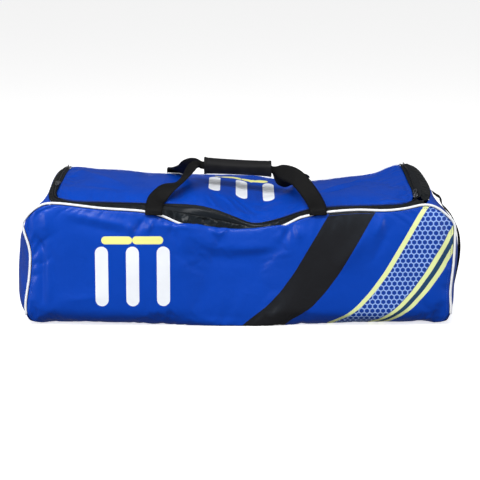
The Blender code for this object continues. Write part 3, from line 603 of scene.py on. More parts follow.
line_edge = CELL_PITCH * (0.5 - CELL_LINE_SHARE)
on_line = add(tree, "ShaderNodeMapRange", {
    0: reach.outputs[0], 1: line_edge - CELL_LINE_BLUR, 2: line_edge + CELL_LINE_BLUR,
})
after = add(tree, "ShaderNodeMath", {0: across, 1: CELLS_START}, operation="GREATER_THAN")
before = add(tree, "ShaderNodeMath", {0: across, 1: CELLS_END}, operation="LESS_THAN")
in_band = add(tree, "ShaderNodeMath", {0: after.outputs[0], 1: before.outputs[0]}, operation="MULTIPLY")
lined = add(tree, "ShaderNodeMath", {0: on_line.outputs[0], 1: in_band.outputs[0]}, operation="MULTIPLY")
with_cells = add(tree, "ShaderNodeMix", {
    0: lined.outputs[0], 6: stripes.outputs[0], 7: linear("#9dbdf8"),
}, data_type="RGBA")

# %% A plain wicket as the emblem
# Three stumps and two bails are a common sign for cricket. The front has it once in white and yellow,
# and the lid once more, a little smaller. Sizes are in metres.
EMBLEM_CENTRE = (-0.2216, 0.112)
STUMP_PITCH = 0.064
STUMP_HALF_HEIGHT = 0.050
STUMP_HALF_WIDTH = 0.0135
BAIL_HALF_LENGTH = 0.0235
BAIL_RISE = 0.0770
BAIL_HALF_WIDTH = 0.0085
LID_EMBLEM_CENTRE = (0.006, 0.146)
LID_EMBLEM_SCALE = 0.92


def wicket(tree, uv, centre, scale=1.0):
    """Masks of the stumps and of the bails round a centre in the piece's UV map."""
    local = add(tree, "ShaderNodeVectorMath", {0: uv, 1: (*centre, 0.0)}, operation="SUBTRACT")
    local = add(tree, "ShaderNodeVectorMath", {
        0: local.outputs[0], 1: (1 / scale, 1 / scale, 0.0),
    }, operation="MULTIPLY")
    bars = []
    for k in (-1, 0, 1):
        bars.append((0, (k * STUMP_PITCH, 0.0), (0.0, STUMP_HALF_HEIGHT), STUMP_HALF_WIDTH))
    for k in (-0.5, 0.5):
        bars.append((1, (k * STUMP_PITCH, BAIL_RISE), (BAIL_HALF_LENGTH, 0.0), BAIL_HALF_WIDTH))
    masks = [None, None]
    for group, place, half, width in bars:
        away = local.outputs[0]
        for value, operation in (
            ((*place, 0.0), "SUBTRACT"),
            (None, "ABSOLUTE"),
            ((*half, 0.0), "SUBTRACT"),
            ((0.0, 0.0, 0.0), "MAXIMUM"),
        ):
            inputs = {0: away} if value is None else {0: away, 1: value}
            away = add(tree, "ShaderNodeVectorMath", inputs, operation=operation).outputs[0]
        size = add(tree, "ShaderNodeVectorMath", {0: away}, operation="LENGTH").outputs["Value"]
        mask = add(tree, "ShaderNodeMath", {0: size, 1: width}, operation="LESS_THAN").outputs[0]
        if masks[group] is not None:
            mask = add(tree, "ShaderNodeMath", {0: mask, 1: masks[group]}, operation="MAXIMUM").outputs[0]
        masks[group] = mask
    return masks


def with_wicket(tree, uv, color, centre, scale=1.0):
    """A colour with the white stumps and the yellow bails printed over it."""
    for mask, print_color in zip(wicket(tree, uv, centre, scale), ("#f4f8ff", "#f6f596")):
        layers = {0: mask, 6: color, 7: linear(print_color)}
        color = add(tree, "ShaderNodeMix", layers, data_type="RGBA").outputs[2]
    return color


shade = add(tree, "ShaderNodeTexNoise", {"Vector": uv, "Scale": 11.0, "Detail": 3.0})
bright = add(tree, "ShaderNodeMapRange", {0: shade.outputs[0], 3: 0.90, 4: 1.10})
printed = add(tree, "ShaderNodeVectorMath", {
    0: with_wicket(tree, uv, with_cells.outputs[2], EMBLEM_CENTRE), 1: bright.outputs[0],
}, operation="MULTIPLY")
cloth_surface(tree, shader, uv, printed.outputs[0])

lid_cloth, tree, shader = new_material("woven_polyester_printed_lid")
uv = add(tree, "ShaderNodeUVMap", uv_map="cloth").outputs[0]
plain = uneven_color(tree, uv, *BLUE_SHADES)
with_emblem = with_wicket(tree, uv, plain, LID_EMBLEM_CENTRE, LID_EMBLEM_SCALE)
cloth_surface(tree, shader, uv, with_emblem, coat=0.06)
shader.inputs["Specular IOR Level"].default_value = 0.08
print("stripes:", len(STRIPES), "cell pitch", CELL_PITCH * 1000, "mm")

# %% [markdown]
# ## The front panel
# Under the white piping the filled bag pulls its cloth tight, and a row of short folds runs down
# from the seam. Lower down the cloth is smooth, and it rolls under the bag at the foot. The general
# unevenness comes from the cloth simulation, and the folds that can be told one by one in the
# photo are laid in afterwards, from a short table.

# %% Front panel
# ends x, z and x, z, half width, height, in metres
FRONT_FOLDS = (
    (-0.359, 0.245, -0.223, 0.217, 0.010, 0.0042),
    (-0.347, 0.226, -0.227, 0.200, 0.012, -0.0026),
    (-0.200, 0.230, -0.213, 0.206, 0.006, -0.0056),
    (-0.181, 0.228, -0.188, 0.208, 0.006, 0.0050),
    (-0.228, 0.222, -0.224, 0.200, 0.007, 0.0034),
    (-0.173, 0.219, -0.082, 0.210, 0.008, 0.0034),
    (-0.400, 0.251, -0.399, 0.208, 0.010, 0.0040),
    (-0.419, 0.193, -0.409, 0.168, 0.006, -0.0044),
    (-0.409, 0.168, -0.411, 0.059, 0.006, -0.0040),
    (-0.396, 0.150, -0.398, 0.050, 0.010, 0.0022),
    (-0.057, 0.206, -0.042, 0.196, 0.005, 0.0040),
    (-0.042, 0.196, -0.024, 0.206, 0.005, 0.0036),
    (-0.045, 0.186, -0.038, 0.170, 0.010, -0.0026),
    (0.105, 0.215, 0.091, 0.182, 0.007, -0.0050),
    (0.124, 0.217, 0.128, 0.192, 0.009, 0.0044),
    (0.001, 0.163, 0.074, 0.172, 0.012, 0.0022),
    (0.047, 0.142, 0.110, 0.163, 0.012, 0.0026),
    (-0.124, 0.157, -0.009, 0.142, 0.016, -0.0020),
    (0.303, 0.241, 0.284, 0.198, 0.009, 0.0036),
    (0.322, 0.228, 0.277, 0.142, 0.012, -0.0032),
    (0.205, 0.128, 0.270, 0.206, 0.020, 0.0060),
    (-0.373, 0.059, -0.293, 0.068, 0.012, 0.0022),
    (-0.125, 0.026, 0.022, 0.020, 0.014, -0.0018),
    (0.379, 0.059, 0.423, 0.019, 0.012, -0.0028),
    (0.409, 0.238, 0.422, 0.160, 0.010, 0.0034),
)
FRONT_ROWS, FRONT_COLUMNS = 104, 288
# The height above the ground at which the stripes' places are given, and the rows that reach it
STRIPE_BASE = 0.120
LOWER_ROWS = 80

front = refine(grids["front_panel"], FRONT_ROWS, FRONT_COLUMNS)
flat_uv = panel_uv(front)
columns = zip(front.transpose(1, 0, 2)[:, :LOWER_ROWS, 2], flat_uv[:LOWER_ROWS, :, 1].T)
up_at_base = np.array([np.interp(STRIPE_BASE, heights, up) for heights, up in columns])
front_uv = np.stack((front[:, :, 0], flat_uv[:, :, 1] - up_at_base[None, :] + STRIPE_BASE), axis=2)
front = settle(front, pressure=1.2, slack=0.05, cap=0.0045)
front = fold(front, FRONT_FOLDS)
front_piece = sheet_mesh("front_cloth", front, front_uv)
shifts = np.interp(front_uv[:, :, 1], STRIPE_HEIGHTS, STRIPE_SHIFTS)
shifts = np.array([softened(line, 3) for line in shifts.T]).T
print_places = np.stack((front_uv[:, :, 0] - shifts, front_uv[:, :, 1]), axis=2)
add_uv(front_piece, "print", print_places)
thicken(front_piece, PANEL_CLOTH)
dress(front_piece, printed_cloth, "blue_cloth", "front_panel")
cut_cloth(front)
print("front:", len(front_piece.data.polygons), "quads")

# %% Back panel and the two ends
# The folds of an end are given by y and z
END_FOLDS = (
    (-0.06, 0.235, -0.02, 0.140, 0.012, 0.0035),
    (0.02, 0.240, 0.05, 0.150, 0.012, -0.0035),
    (0.09, 0.225, 0.10, 0.130, 0.012, 0.0030),
    (-0.10, 0.215, -0.09, 0.120, 0.010, -0.0030),
)
BACK_FOLDS = (
    (-0.356, 0.235, -0.296, 0.180, 0.014, 0.0035),
    (-0.196, 0.225, -0.166, 0.170, 0.014, -0.0035),
    (-0.046, 0.220, 0.024, 0.170, 0.013, 0.0032),
    (0.104, 0.215, 0.154, 0.160, 0.013, -0.0034),
    (0.264, 0.220, 0.304, 0.165, 0.013, 0.0034),
    (0.374, 0.235, 0.404, 0.180, 0.012, -0.0030),
)
for name, piece_name, rows, columns, lines, flat_axis, cap in (
    ("back_panel", "back_cloth", 72, 200, BACK_FOLDS, 1, 0.0040),
    ("left_end_panel", "left_end_cloth", 72, 72, END_FOLDS, 0, 0.0020),
    ("right_end_panel", "right_end_cloth", 72, 72, END_FOLDS, 0, 0.0020),
):
    grid = settle(refine(grids[name], rows, columns), pressure=1.2, slack=0.05, cap=cap)
    grid = fold(grid, lines, flat_axis)
    piece = sheet_mesh(piece_name, grid)
    thicken(piece, PANEL_CLOTH)
    dress(piece, blue_cloth, "blue_cloth", name)
    cut_cloth(grid)

# %% Lid
# ends x, y and x, y, half width, height, in metres
LID_FOLDS = (
    (-0.110, 0.125, -0.138, -0.070, 0.013, -0.0046),
    (-0.158, 0.060, -0.172, -0.090, 0.013, 0.0034),
    (0.176, -0.020, 0.243, 0.047, 0.007, 0.0038),
    (0.190, -0.030, 0.255, 0.030, 0.006, -0.0030),
    (0.248, 0.047, 0.277, 0.078, 0.006, 0.0032),
    (0.124, 0.060, 0.120, -0.100, 0.013, -0.0046),
    (0.292, -0.097, 0.352, -0.104, 0.008, 0.0040),
    (0.280, 0.067, 0.340, 0.130, 0.014, 0.0036),
    (-0.370, 0.050, -0.340, 0.090, 0.010, 0.0034),
    (-0.340, 0.080, -0.250, -0.020, 0.014, 0.0030),
    (-0.330, -0.030, -0.230, -0.060, 0.014, -0.0028),
    (-0.010, -0.100, 0.064, -0.090, 0.012, 0.0030),
    (0.010, -0.060, 0.090, -0.040, 0.016, -0.0026),
)
lid = settle(refine(grids["lid_panel"], 88, 220), pressure=0.8, slack=0.05, cap=0.0035)
lid = fold(lid, LID_FOLDS, 2)
lid_uv = panel_uv(lid)
lid_uv[:, :, 0] = lid[:, :, 0]
lid_uv[:, :, 1] = lid_uv[-1:, :, 1] - lid_uv[:, :, 1]
lid_piece = sheet_mesh("lid_cloth", lid, lid_uv)
thicken(lid_piece, PANEL_CLOTH)
dress(lid_piece, lid_cloth, "blue_cloth", "lid_panel")
cut_cloth(lid)

# %% Base
low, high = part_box("base_panel")
BASE_ROWS, BASE_COLUMNS = 24, 96
BASE_GAP = 0.0002
front_row, back_row = grids["front_panel"][0], grids["back_panel"][0]
share = np.linspace(0, 1, BASE_ROWS + 1)[:, None]
base_rows = []
for k in range(BASE_COLUMNS + 1):
    a = np.array((np.interp(k, (0, BASE_COLUMNS), (front_row[0, 0], front_row[-1, 0])), low.y, high.z))
    b = np.array((np.interp(k, (0, BASE_COLUMNS), (back_row[0, 0], back_row[-1, 0])), high.y, high.z))
    base_rows.append((1 - share) * a + share * b)
base = np.array(base_rows).transpose(1, 0, 2)
base[:, :, 2] = BASE_GAP
base_piece = sheet_mesh("base_cloth", base)
if base_piece.data.polygons[0].normal.z > 0:
    base_piece.data.flip_normals()
thicken(base_piece, THIN_CLOTH)
dress(base_piece, blue_cloth, "base_cloth", "base_panel")
cut_cloth(base)

# %% [markdown]
# ## The black band and its zip
# A strip of black cloth, the gusset, joins the front seam to a zip that runs round three sides of the
# lid. It is slack, so it wrinkles where the bag sags. The zip is a woven tape with a nylon coil: a wound
# thread, whose turns lock into each other. The turns are a shape that repeats along a path, so
# Geometry Nodes set one small link at even steps along the coil's curve.

# %% Gusset
# Its edges go this far under the cloth beside them, and this far down, in metres
GUSSET_TUCK, GUSSET_SINK = 0.0012, 0.0007
GUSSET_ROWS, TAPE_ROWS, BAND_COLUMNS = 12, 8, 560
GUSSET_FOLDS = (
    (-0.074, -0.134, -0.064, -0.100, 0.007, -0.0040),
    (-0.056, -0.136, -0.036, -0.112, 0.007, 0.0030),
    (-0.106, -0.135, -0.096, -0.112, 0.006, 0.0022),
    (0.014, -0.130, 0.064, -0.118, 0.006, 0.0026),
    (0.124, -0.136, 0.154, -0.118, 0.006, -0.0024),
    (-0.396, -0.020, -0.376, 0.020, 0.006, 0.0026),
    (0.396, -0.100, 0.376, -0.070, 0.006, -0.0026),
)


def tuck_edges(grid, tuck, sink):
    """Slides both long edges of a strip under the cloth beside them, and down."""
    for edge, beside in ((0, 1), (-1, -2)):
        beyond = grid[edge] - grid[beside]
        beyond /= np.maximum(np.linalg.norm(beyond, axis=1)[:, None], 1e-9)
        grid[edge] += beyond * tuck - outward(grid)[edge] * sink


gusset = refine(grids["top_gusset"].transpose(1, 0, 2), GUSSET_ROWS, BAND_COLUMNS)
gusset = settle(gusset, pressure=0.5, slack=0.06, cap=0.0022, reach=0.02)
gusset = fold(gusset, GUSSET_FOLDS, 2)
tuck_edges(gusset, GUSSET_TUCK, GUSSET_SINK)
gusset_piece = sheet_mesh("gusset_cloth", gusset)
thicken(gusset_piece, THIN_CLOTH)
dress(gusset_piece, black_cloth, "black_cloth", "top_gusset")
cut_cloth(gusset)

# %% Zip tape: the rows of the frame's tape without its ridge
zip_tape_cloth, tree, shader = new_material("zip_tape_woven_polyester")
uv = add(tree, "ShaderNodeUVMap", uv_map="cloth").outputs[0]
color = uneven_color(tree, uv, "#0c0d0f", "#151619")
cloth_surface(tree, shader, uv, color, rough=(0.55, 0.70), dent_height=0.0004, thread_mm=1.0)

# The tape's edges go this far under the cloth on both sides, and this far down, in metres
TAPE_TUCK, TAPE_SINK = 0.0028, 0.0016
tape_rows = grids["zip_tape"].transpose(1, 0, 2)
tape_edges = tape_rows[[0, 1, 4, 5]].copy()
tuck_edges(tape_edges, TAPE_TUCK, TAPE_SINK)
tape = refine(tape_edges, TAPE_ROWS, BAND_COLUMNS)
tape_piece = sheet_mesh("zip_tape_cloth", tape)
thicken(tape_piece, TAPE_CLOTH)
dress(tape_piece, zip_tape_cloth, "zip_tape", "zip_tape")
cut_cloth(tape)

# %% [markdown]
# ## Helpers for small parts
# One helper turns a line of points into a curve object, and another keeps what a piece's modifiers make
# of it as a plain mesh. Both are used for the coil, and later for the stitches. Vinyl, nylon, thread,
# foam-backed nylon and plated zinc all vary softly between two shades, so they share one function.


# %% Curves and node trees that follow them
def line_object(name, points):
    """A poly curve through points."""
    data = bpy.data.curves.new(name, "CURVE")
    data.dimensions = "3D"
    line = data.splines.new("POLY")
    line.points.add(len(points) - 1)
    line.points.foreach_set("co", np.column_stack((points, np.ones(len(points)))).ravel())
    piece = bpy.data.objects.new(name, data)
    scene.collection.objects.link(piece)
    return piece


def baked(piece):
    """What a piece's modifiers make of it, as a plain mesh."""
    bpy.context.view_layer.update()
    graph = bpy.context.evaluated_depsgraph_get()
    return bpy.data.meshes.new_from_object(piece.evaluated_get(graph), depsgraph=graph)


def along_path_tree(name, material):
    """A node tree that sets one link at even steps along a curve, with Step and Link as inputs."""
    group = bpy.data.node_groups.new(name, "GeometryNodeTree")
    group.interface.new_socket("Path", in_out="INPUT", socket_type="NodeSocketGeometry")
    group.interface.new_socket("Link", in_out="INPUT", socket_type="NodeSocketObject")
    group.interface.new_socket("Step", in_out="INPUT", socket_type="NodeSocketFloat")
    group.interface.new_socket("Geometry", in_out="OUTPUT", socket_type="NodeSocketGeometry")
    given = add(group, "NodeGroupInput")
    steps = add(group, "GeometryNodeCurveToPoints", {
        "Curve": given.outputs["Path"], "Length": given.outputs["Step"],
    }, mode="LENGTH")
    link = add(group, "GeometryNodeObjectInfo", {"Object": given.outputs["Link"]})
    placed = add(group, "GeometryNodeInstanceOnPoints", {
        "Points": steps.outputs["Points"],
        "Instance": link.outputs["Geometry"],
        "Rotation": steps.outputs["Rotation"],
    })
    real = add(group, "GeometryNodeRealizeInstances", {0: placed.outputs[0]})
    finished = add(group, "GeometryNodeSetMaterial", {"Geometry": real.outputs[0], "Material": material})
    add(group, "NodeGroupOutput", {0: finished.outputs[0]})
    return group


def along_path(name, points, tree, link, step):
    """One plain mesh of links set along a line of points."""
    path = line_object(name + "_path", points)
    nodes = path.modifiers.new("links", "NODES")
    nodes.node_group = tree
    sockets = {item.name: item.identifier for item in tree.interface.items_tree if item.in_out == "INPUT"}
    nodes[sockets["Link"]] = link
    nodes[sockets["Step"]] = step
    mesh = baked(path)
    bpy.data.objects.remove(path, do_unlink=True)
    mesh.name = name
    piece = bpy.data.objects.new(name, mesh)
    scene.collection.objects.link(piece)
    mesh.shade_smooth()
    return piece


def ring_mesh(name, sections):
    """An object of quads over rings of points, its ends closed by faces."""
    rings = np.array(sections)
    count, around = rings.shape[:2]
    index = np.arange(count * around).reshape(count, around)
    after = np.roll(index, -1, axis=1)
    quads = np.stack((index[:-1], after[:-1], after[1:], index[1:]), axis=2).reshape(-1, 4).tolist()
    mesh = bpy.data.meshes.new(name)
    ends = [index[0][::-1].tolist(), index[-1].tolist()]
    mesh.from_pydata(rings.reshape(-1, 3).tolist(), [], quads + ends)
    shape = bmesh.new()
    shape.from_mesh(mesh)
    bmesh.ops.recalc_face_normals(shape, faces=shape.faces)
    shape.to_mesh(mesh)
    shape.free()
    mesh.shade_smooth()
    piece = bpy.data.objects.new(name, mesh)
    scene.collection.objects.link(piece)
    return piece


def as_tool(piece):
    """Takes a link out of the scene once its shape is known, so that only its copies are shown."""
    scene.collection.objects.unlink(piece)
    return piece


def mottled(name, low, high, scale, detail=2.0):
    """A material whose colour varies softly over the piece, with its tree, shader, places and noise."""
    material, tree, shader = new_material(name)
    place = add(tree, "ShaderNodeTexCoord").outputs["Object"]
    noise = add(tree, "ShaderNodeTexNoise", {"Vector": place, "Scale": scale, "Detail": detail}).outputs[0]
    shades = {0: noise, 6: linear(low), 7: linear(high)}
    color = add(tree, "ShaderNodeMix", shades, data_type="RGBA").outputs[2]
    tree.links.new(color, shader.inputs["Base Color"])
    return material, tree, shader, place, noise


# %% Zip coil
COIL_STEP = 0.0021
COIL_HALF = 0.0029
COIL_THREAD = 0.00062
COIL_RISE = 0.0010
COIL_SINK = 0.0013
COIL_SAMPLES = 900
# Smooth nylon thread: narrow highlights on every turn make the zip sparkle a little
nylon, _, shader, *_ = mottled("nylon_monofilament_black", "#17181a", "#2c2d31", 160.0)
shader.inputs["Roughness"].default_value = 0.34

coil_rings = []
for t in np.linspace(0, 1, 9):
    bend = math.pi * t
    arch = math.sin(bend)
    centre = np.array((arch * 0.0006 - 0.0003, -math.cos(bend) * COIL_HALF, 0.0004 + arch * COIL_RISE))
    ring = []
    for k in range(5):
        turn = 2 * math.pi * k / 5
        ring.append(centre + np.array((math.cos(turn) * COIL_THREAD, 0.0, math.sin(turn) * COIL_THREAD)))
    coil_rings.append(ring)
coil_link = as_tool(ring_mesh("coil_link", coil_rings))
coil_tree = along_path_tree("links along the zip", nylon)

ridge = refine(tape_rows[[2, 3]], 2, COIL_SAMPLES)[1]
tape_normals = outward(refine(tape_rows[[1, 4]], 2, COIL_SAMPLES))[1]
coil_piece = along_path("zip_coil", ridge - tape_normals * COIL_SINK, coil_tree, coil_link, COIL_STEP)
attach(coil_piece, "root")
print("coil:", len(coil_piece.data.polygons), "faces over", round(float(lengths(ridge)[-1]), 3), "m")

# %% [markdown]
# ## Piping
# The seams of the front and the back are finished with piping: a cord wrapped in smooth white vinyl. It
# is a round tube along the seam. The rings of the frame's tube give its middle line, a curve runs
# through them, and fine rings with a slight unevenness, as sewing leaves it, are set along it.

# %% Middle line of a tube in the frame
def middle_line(name, around=6):
    """Centres of the rings of a tube, from its end at the lower left."""
    tube = bmesh.new()
    tube.from_mesh(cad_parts[name].data)
    bmesh.ops.remove_doubles(tube, verts=tube.verts, dist=MERGE_DISTANCE)
    tube.verts.index_update()
    places = np.array([v.co for v in tube.verts])
    links = [[e.other_vert(v).index for e in v.link_edges] for v in tube.verts]
    tube.free()
    start = np.argmin(places[:, 2] + 10.0 * (places[:, 0] > 0))
    rings = [set(np.argsort(np.linalg.norm(places - places[start], axis=1))[:around].tolist())]
    seen = set(rings[0])
    while len(seen) < len(places):
        ahead = {q for p in rings[-1] for q in links[p]} - seen
        if not ahead:
            break
        rings.append(ahead)
        seen |= ahead
    return np.array([places[list(ring)].mean(axis=0) for ring in rings])


def tube_rings(line, radius, around, seed=0, uneven=0.0):
    """Rings of points round a line; radius is one number or one for each point."""
    along = np.gradient(line, axis=0)
    along /= np.linalg.norm(along, axis=1)[:, None]
    normal = np.array((0.0, 1.0, 0.0))
    rings = []
    wobble = np.random.default_rng(seed).normal(size=len(line))
    wobble = np.convolve(wobble, np.ones(5) / 5, "same") * uneven
    for k, (place, ahead) in enumerate(zip(line, along)):
        normal = normal - ahead * (normal @ ahead)
        normal /= np.linalg.norm(normal)
        beside = np.cross(ahead, normal)
        size = (radius if np.isscalar(radius) else radius[k]) * (1 + wobble[k])
        turns = 2 * math.pi * np.arange(around) / around
        rings.append(place + size * (np.cos(turns)[:, None] * normal + np.sin(turns)[:, None] * beside))
    return rings


# %% Piping pieces
PIPING_RADIUS = 0.0026
PIPING_END_SHARE = 0.55
PIPING_SAMPLES = 700
# Smooth vinyl: bright, with a soft gloss along the top and a faint ripple from the sewing
vinyl, tree, shader, place, _ = mottled("extruded_vinyl_white", "#e9eef6", "#ffffff", 34.0, 4.0)
ripple = add(tree, "ShaderNodeTexNoise", {"Vector": place, "Scale": 260.0})
bump = add(tree, "ShaderNodeBump", {"Strength": 0.3, "Distance": 0.0003, "Height": ripple.outputs[0]})
tree.links.new(bump.outputs[0], shader.inputs["Normal"])
shader.inputs["Roughness"].default_value = 0.38
shader.inputs["Coat Weight"].default_value = 0.15

for name, piece_name in (("piping_front", "front_piping"), ("piping_back", "back_piping")):
    line = smooth(middle_line(name), PIPING_SAMPLES)
    radii = np.full(len(line), PIPING_RADIUS)
    radii[[0, -1]] *= PIPING_END_SHARE
    piece = ring_mesh(piece_name, tube_rings(line, radii, 12, seed=3, uneven=0.03))
    dress(piece, vinyl, "piping", name)
    print(piece_name, round(float(lengths(line)[-1]), 3), "m")

# %% [markdown]
# ## Webbing handles
# Webbing is a thick narrow weave with ribs across it and a rolled edge. The frame gives the middle of each
# loop as rows of four points. A strap is modelled directly from them, with nine points across its top,
# a lens-shaped section and rounded edges, because a simulation would crumple it. The webbing of the loops
# is stiff and turns about its own length as it rises, which a small table gives for each loop.

# %% Webbing material
RIB_MM = 2.6
CORD_MM = 3.4
# Dull black webbing: the ribs across it break the light up, so it has no clear highlight
webbing, tree, shader = new_material("polypropylene_webbing_black")
uv = add(tree, "ShaderNodeUVMap", uv_map="cloth").outputs[0]
worn = add(tree, "ShaderNodeTexNoise", {"Vector": uv, "Scale": 60.0, "Detail": 4.0})
shades = {0: worn.outputs[0], 6: linear("#070707"), 7: linear("#121213")}
mix = add(tree, "ShaderNodeMix", shades, data_type="RGBA")
tree.links.new(mix.outputs[2], shader.inputs["Base Color"])
gloss = add(tree, "ShaderNodeMapRange", {0: worn.outputs[0], 3: 0.50, 4: 0.72})
tree.links.new(gloss.outputs[0], shader.inputs["Roughness"])
bump = add(tree, "ShaderNodeBump", {
    "Strength": 0.6, "Distance": 0.0004, "Height": weave(tree, uv, CORD_MM, RIB_MM),
})
tree.links.new(bump.outputs[0], shader.inputs["Normal"])
shader.inputs["Specular IOR Level"].default_value = 0.14


# %% A strap from rows of the frame
STRAP_ACROSS = 9
ROUND_EDGE = 0.45


def strap_piece(name, grid, steps, twist=None, thickness=0.0018, dome=0.0006):
    """Webbing along the rows of a grid: a lens section with rounded edges, closed at both ends.

    twist is a table of shares of its length and degrees by which the webbing is turned there.
    """
    edges = smooth(grid[:, [0, -1]], steps)
    line = edges.mean(axis=1)
    side = edges[:, 1] - edges[:, 0]
    width = np.linalg.norm(side, axis=1, keepdims=True)
    side = side / width
    along = np.gradient(line, axis=0)
    along /= np.linalg.norm(along, axis=1)[:, None]
    normal = np.cross(side, along)
    normal /= np.linalg.norm(normal, axis=1)[:, None]
    if twist is not None:
        angle = np.radians(np.interp(lengths(line) / lengths(line)[-1], *zip(*twist)))
        angle = softened(angle, 6)[:, None]
        turned = np.cos(angle) * side + np.sin(angle) * normal
        normal = np.cos(angle) * normal - np.sin(angle) * side
        side = turned
    shares = np.linspace(-0.5, 0.5, STRAP_ACROSS)
    rings, texture = [], []
    for top in (1.0, -1.0):
        for share in shares if top > 0 else shares[::-1]:
            fullness = 1.0 if abs(share) < 0.49 else ROUND_EDGE
            lift = top * thickness / 2 * fullness + dome * (1 - (2 * share) ** 2)
            rings.append(line + side * width * share + normal * (lift - thickness / 2))
            texture.append(np.column_stack((width[:, 0] * share, lengths(line))))
    rings = np.array(rings).transpose(1, 0, 2)
    piece = ring_mesh(name, rings)
    add_uv(piece, "cloth", np.array(texture).transpose(1, 0, 2))
    print(name, round(float(lengths(line)[-1]), 3), "m long")
    return piece


# share of the strap's length from its left end, and degrees
FRONT_TWIST = ((0.10, 0), (0.22, 50), (0.33, 55), (0.40, 0))
REAR_TWIST = ((0.11, 0), (0.20, 30), (0.30, 30), (0.36, 0))
for name, piece_name, steps, twist in (
    ("front_handle_strap", "front_handle_webbing", 260, FRONT_TWIST),
    ("rear_handle_strap", "rear_handle_webbing", 260, REAR_TWIST),
    ("right_end_handle", "right_end_webbing", 140, None),
):
    piece = strap_piece(piece_name, grids[name], steps, twist)
    dress(piece, webbing, "webbing", name)

# %% [markdown]
# ## The padded grip
# A sleeve of foam-backed cloth is wrapped round both loops and closed by a flap along its front. It is
# the one piece that is plainly stuffed, so it is a closed body that swells in a cloth simulation: the
# shape is remeshed to even faces, blown up a little against its own cloth, and read back.

# %% Grip
GRIP_VOXEL = 0.0022
GRIP_PRESSURE = 4.0
GRIP_GROWTH = 0.03
GRIP_SWELL_CAP = 0.0022
# The ends stand a little wider, the flap's edge runs along the front, and a sewn line marks each binding
GRIP_FLARE, GRIP_FLARE_REACH = 0.0022, 0.006
GRIP_FLAP, GRIP_FLAP_EDGE = 0.0016, 8.0
GRIP_BINDING, GRIP_BINDING_PLACE, GRIP_BINDING_WIDTH = 0.0010, 0.007, 0.0011
# The flap covers the turns, in degrees, from its edge up to here
GRIP_FLAP_END = 150
grip_shape = bmesh.new()
grip_shape.from_mesh(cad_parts["grip_wrap"].data)
bmesh.ops.remove_doubles(grip_shape, verts=grip_shape.verts, dist=MERGE_DISTANCE)
grip_mesh = bpy.data.meshes.new("grip_padding")
grip_shape.to_mesh(grip_mesh)
grip_shape.free()
grip_piece = bpy.data.objects.new("grip_padding", grip_mesh)
scene.collection.objects.link(grip_piece)
even = grip_piece.modifiers.new("remesh", "REMESH")
even.mode = "VOXEL"
even.voxel_size = GRIP_VOXEL
even_mesh = baked(grip_piece)
grip_piece.modifiers.clear()
grip_piece.data = even_mesh
before = np.array([v.co for v in even_mesh.vertices])
swell = grip_piece.modifiers.new("swell", "CLOTH")
swell.settings.use_pressure = True
swell.settings.uniform_pressure_force = GRIP_PRESSURE
swell.settings.effector_weights.gravity = 0.0
swell.settings.shrink_min = -GRIP_GROWTH
swell.settings.shrink_max = -GRIP_GROWTH
swell.point_cache.frame_end = SETTLE_FRAMES
for frame_number in range(1, SETTLE_FRAMES + 1):
    scene.frame_set(frame_number)
mesh = baked(grip_piece)
grip_piece.modifiers.clear()
moved = np.array([v.co for v in mesh.vertices]) - before
far = np.maximum(np.linalg.norm(moved, axis=1, keepdims=True), 1e-9)
after = before + moved / far * GRIP_SWELL_CAP * np.tanh(far / GRIP_SWELL_CAP)
mesh.vertices.foreach_set("co", after.ravel())
grip_piece.data = mesh
print("grip swelled", round(float(far.mean()) * 1000, 2), "mm")
scene.frame_set(1)
grip_piece.data.shade_smooth()

# %% Flared ends, flap and bindings of the grip
grip_low, grip_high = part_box("grip_wrap")
grip_axis = np.array(((grip_low.y + grip_high.y) / 2, (grip_low.z + grip_high.z) / 2))
places = np.array([v.co for v in grip_piece.data.vertices])
from_end = np.minimum(places[:, 0] - grip_low.x, grip_high.x - places[:, 0])
flare = GRIP_FLARE * np.exp(-np.clip(from_end, 0, None) / GRIP_FLARE_REACH)
slope = np.polyfit(places[:, 0], places[:, 2], 1)
across = np.column_stack((places[:, 1] - grip_axis[0], places[:, 2] - np.polyval(slope, places[:, 0])))
size = np.maximum(np.linalg.norm(across, axis=1), 1e-6)
turn = np.degrees(np.arctan2(across[:, 1], -across[:, 0]))
flap = GRIP_FLAP * (1 / (1 + np.exp(-(turn - GRIP_FLAP_EDGE) / 3.0))) * (turn < GRIP_FLAP_END)
binding = GRIP_BINDING * np.exp(-((from_end - GRIP_BINDING_PLACE) / GRIP_BINDING_WIDTH) ** 2)
places[:, 1:] += across / size[:, None] * (flare + flap - binding)[:, None]
grip_piece.data.vertices.foreach_set("co", places.ravel())
grip_piece.data.update()
softer = grip_piece.modifiers.new("softer", "CORRECTIVE_SMOOTH")
softer.factor = 0.6
softer.iterations = 2
softer.use_only_smooth = True

# Soft nylon over foam: a dull black with a fine grain and a wide faint sheen along the top
padding, tree, shader, place, noise = mottled("foam_backed_nylon_black", "#111112", "#1e1e20", 55.0, 4.0)
gloss = add(tree, "ShaderNodeMapRange", {0: noise, 3: 0.50, 4: 0.68})
tree.links.new(gloss.outputs[0], shader.inputs["Roughness"])
grain = add(tree, "ShaderNodeTexVoronoi", {"Vector": place, "Scale": 1000 / 1.6})
bump = add(tree, "ShaderNodeBump", {"Strength": 0.3, "Distance": 0.0003, "Height": grain.outputs[0]})
tree.links.new(bump.outputs[0], shader.inputs["Normal"])
shader.inputs["Specular IOR Level"].default_value = 0.14
dress(grip_piece, padding, "grip_cloth", "grip_wrap")

# %% [markdown]
# ## Zip sliders
# A slider is a zinc casting, plated dark: a flat body with a wide nose, a bridge over it, and a loose
# pull with a slot. The frame says where each slider lies. Its longest direction runs from the body to
# the tip of the pull, and its thinnest is the way up, so both are read from the frame's points, and
# the new parts are built in that small frame of their own.

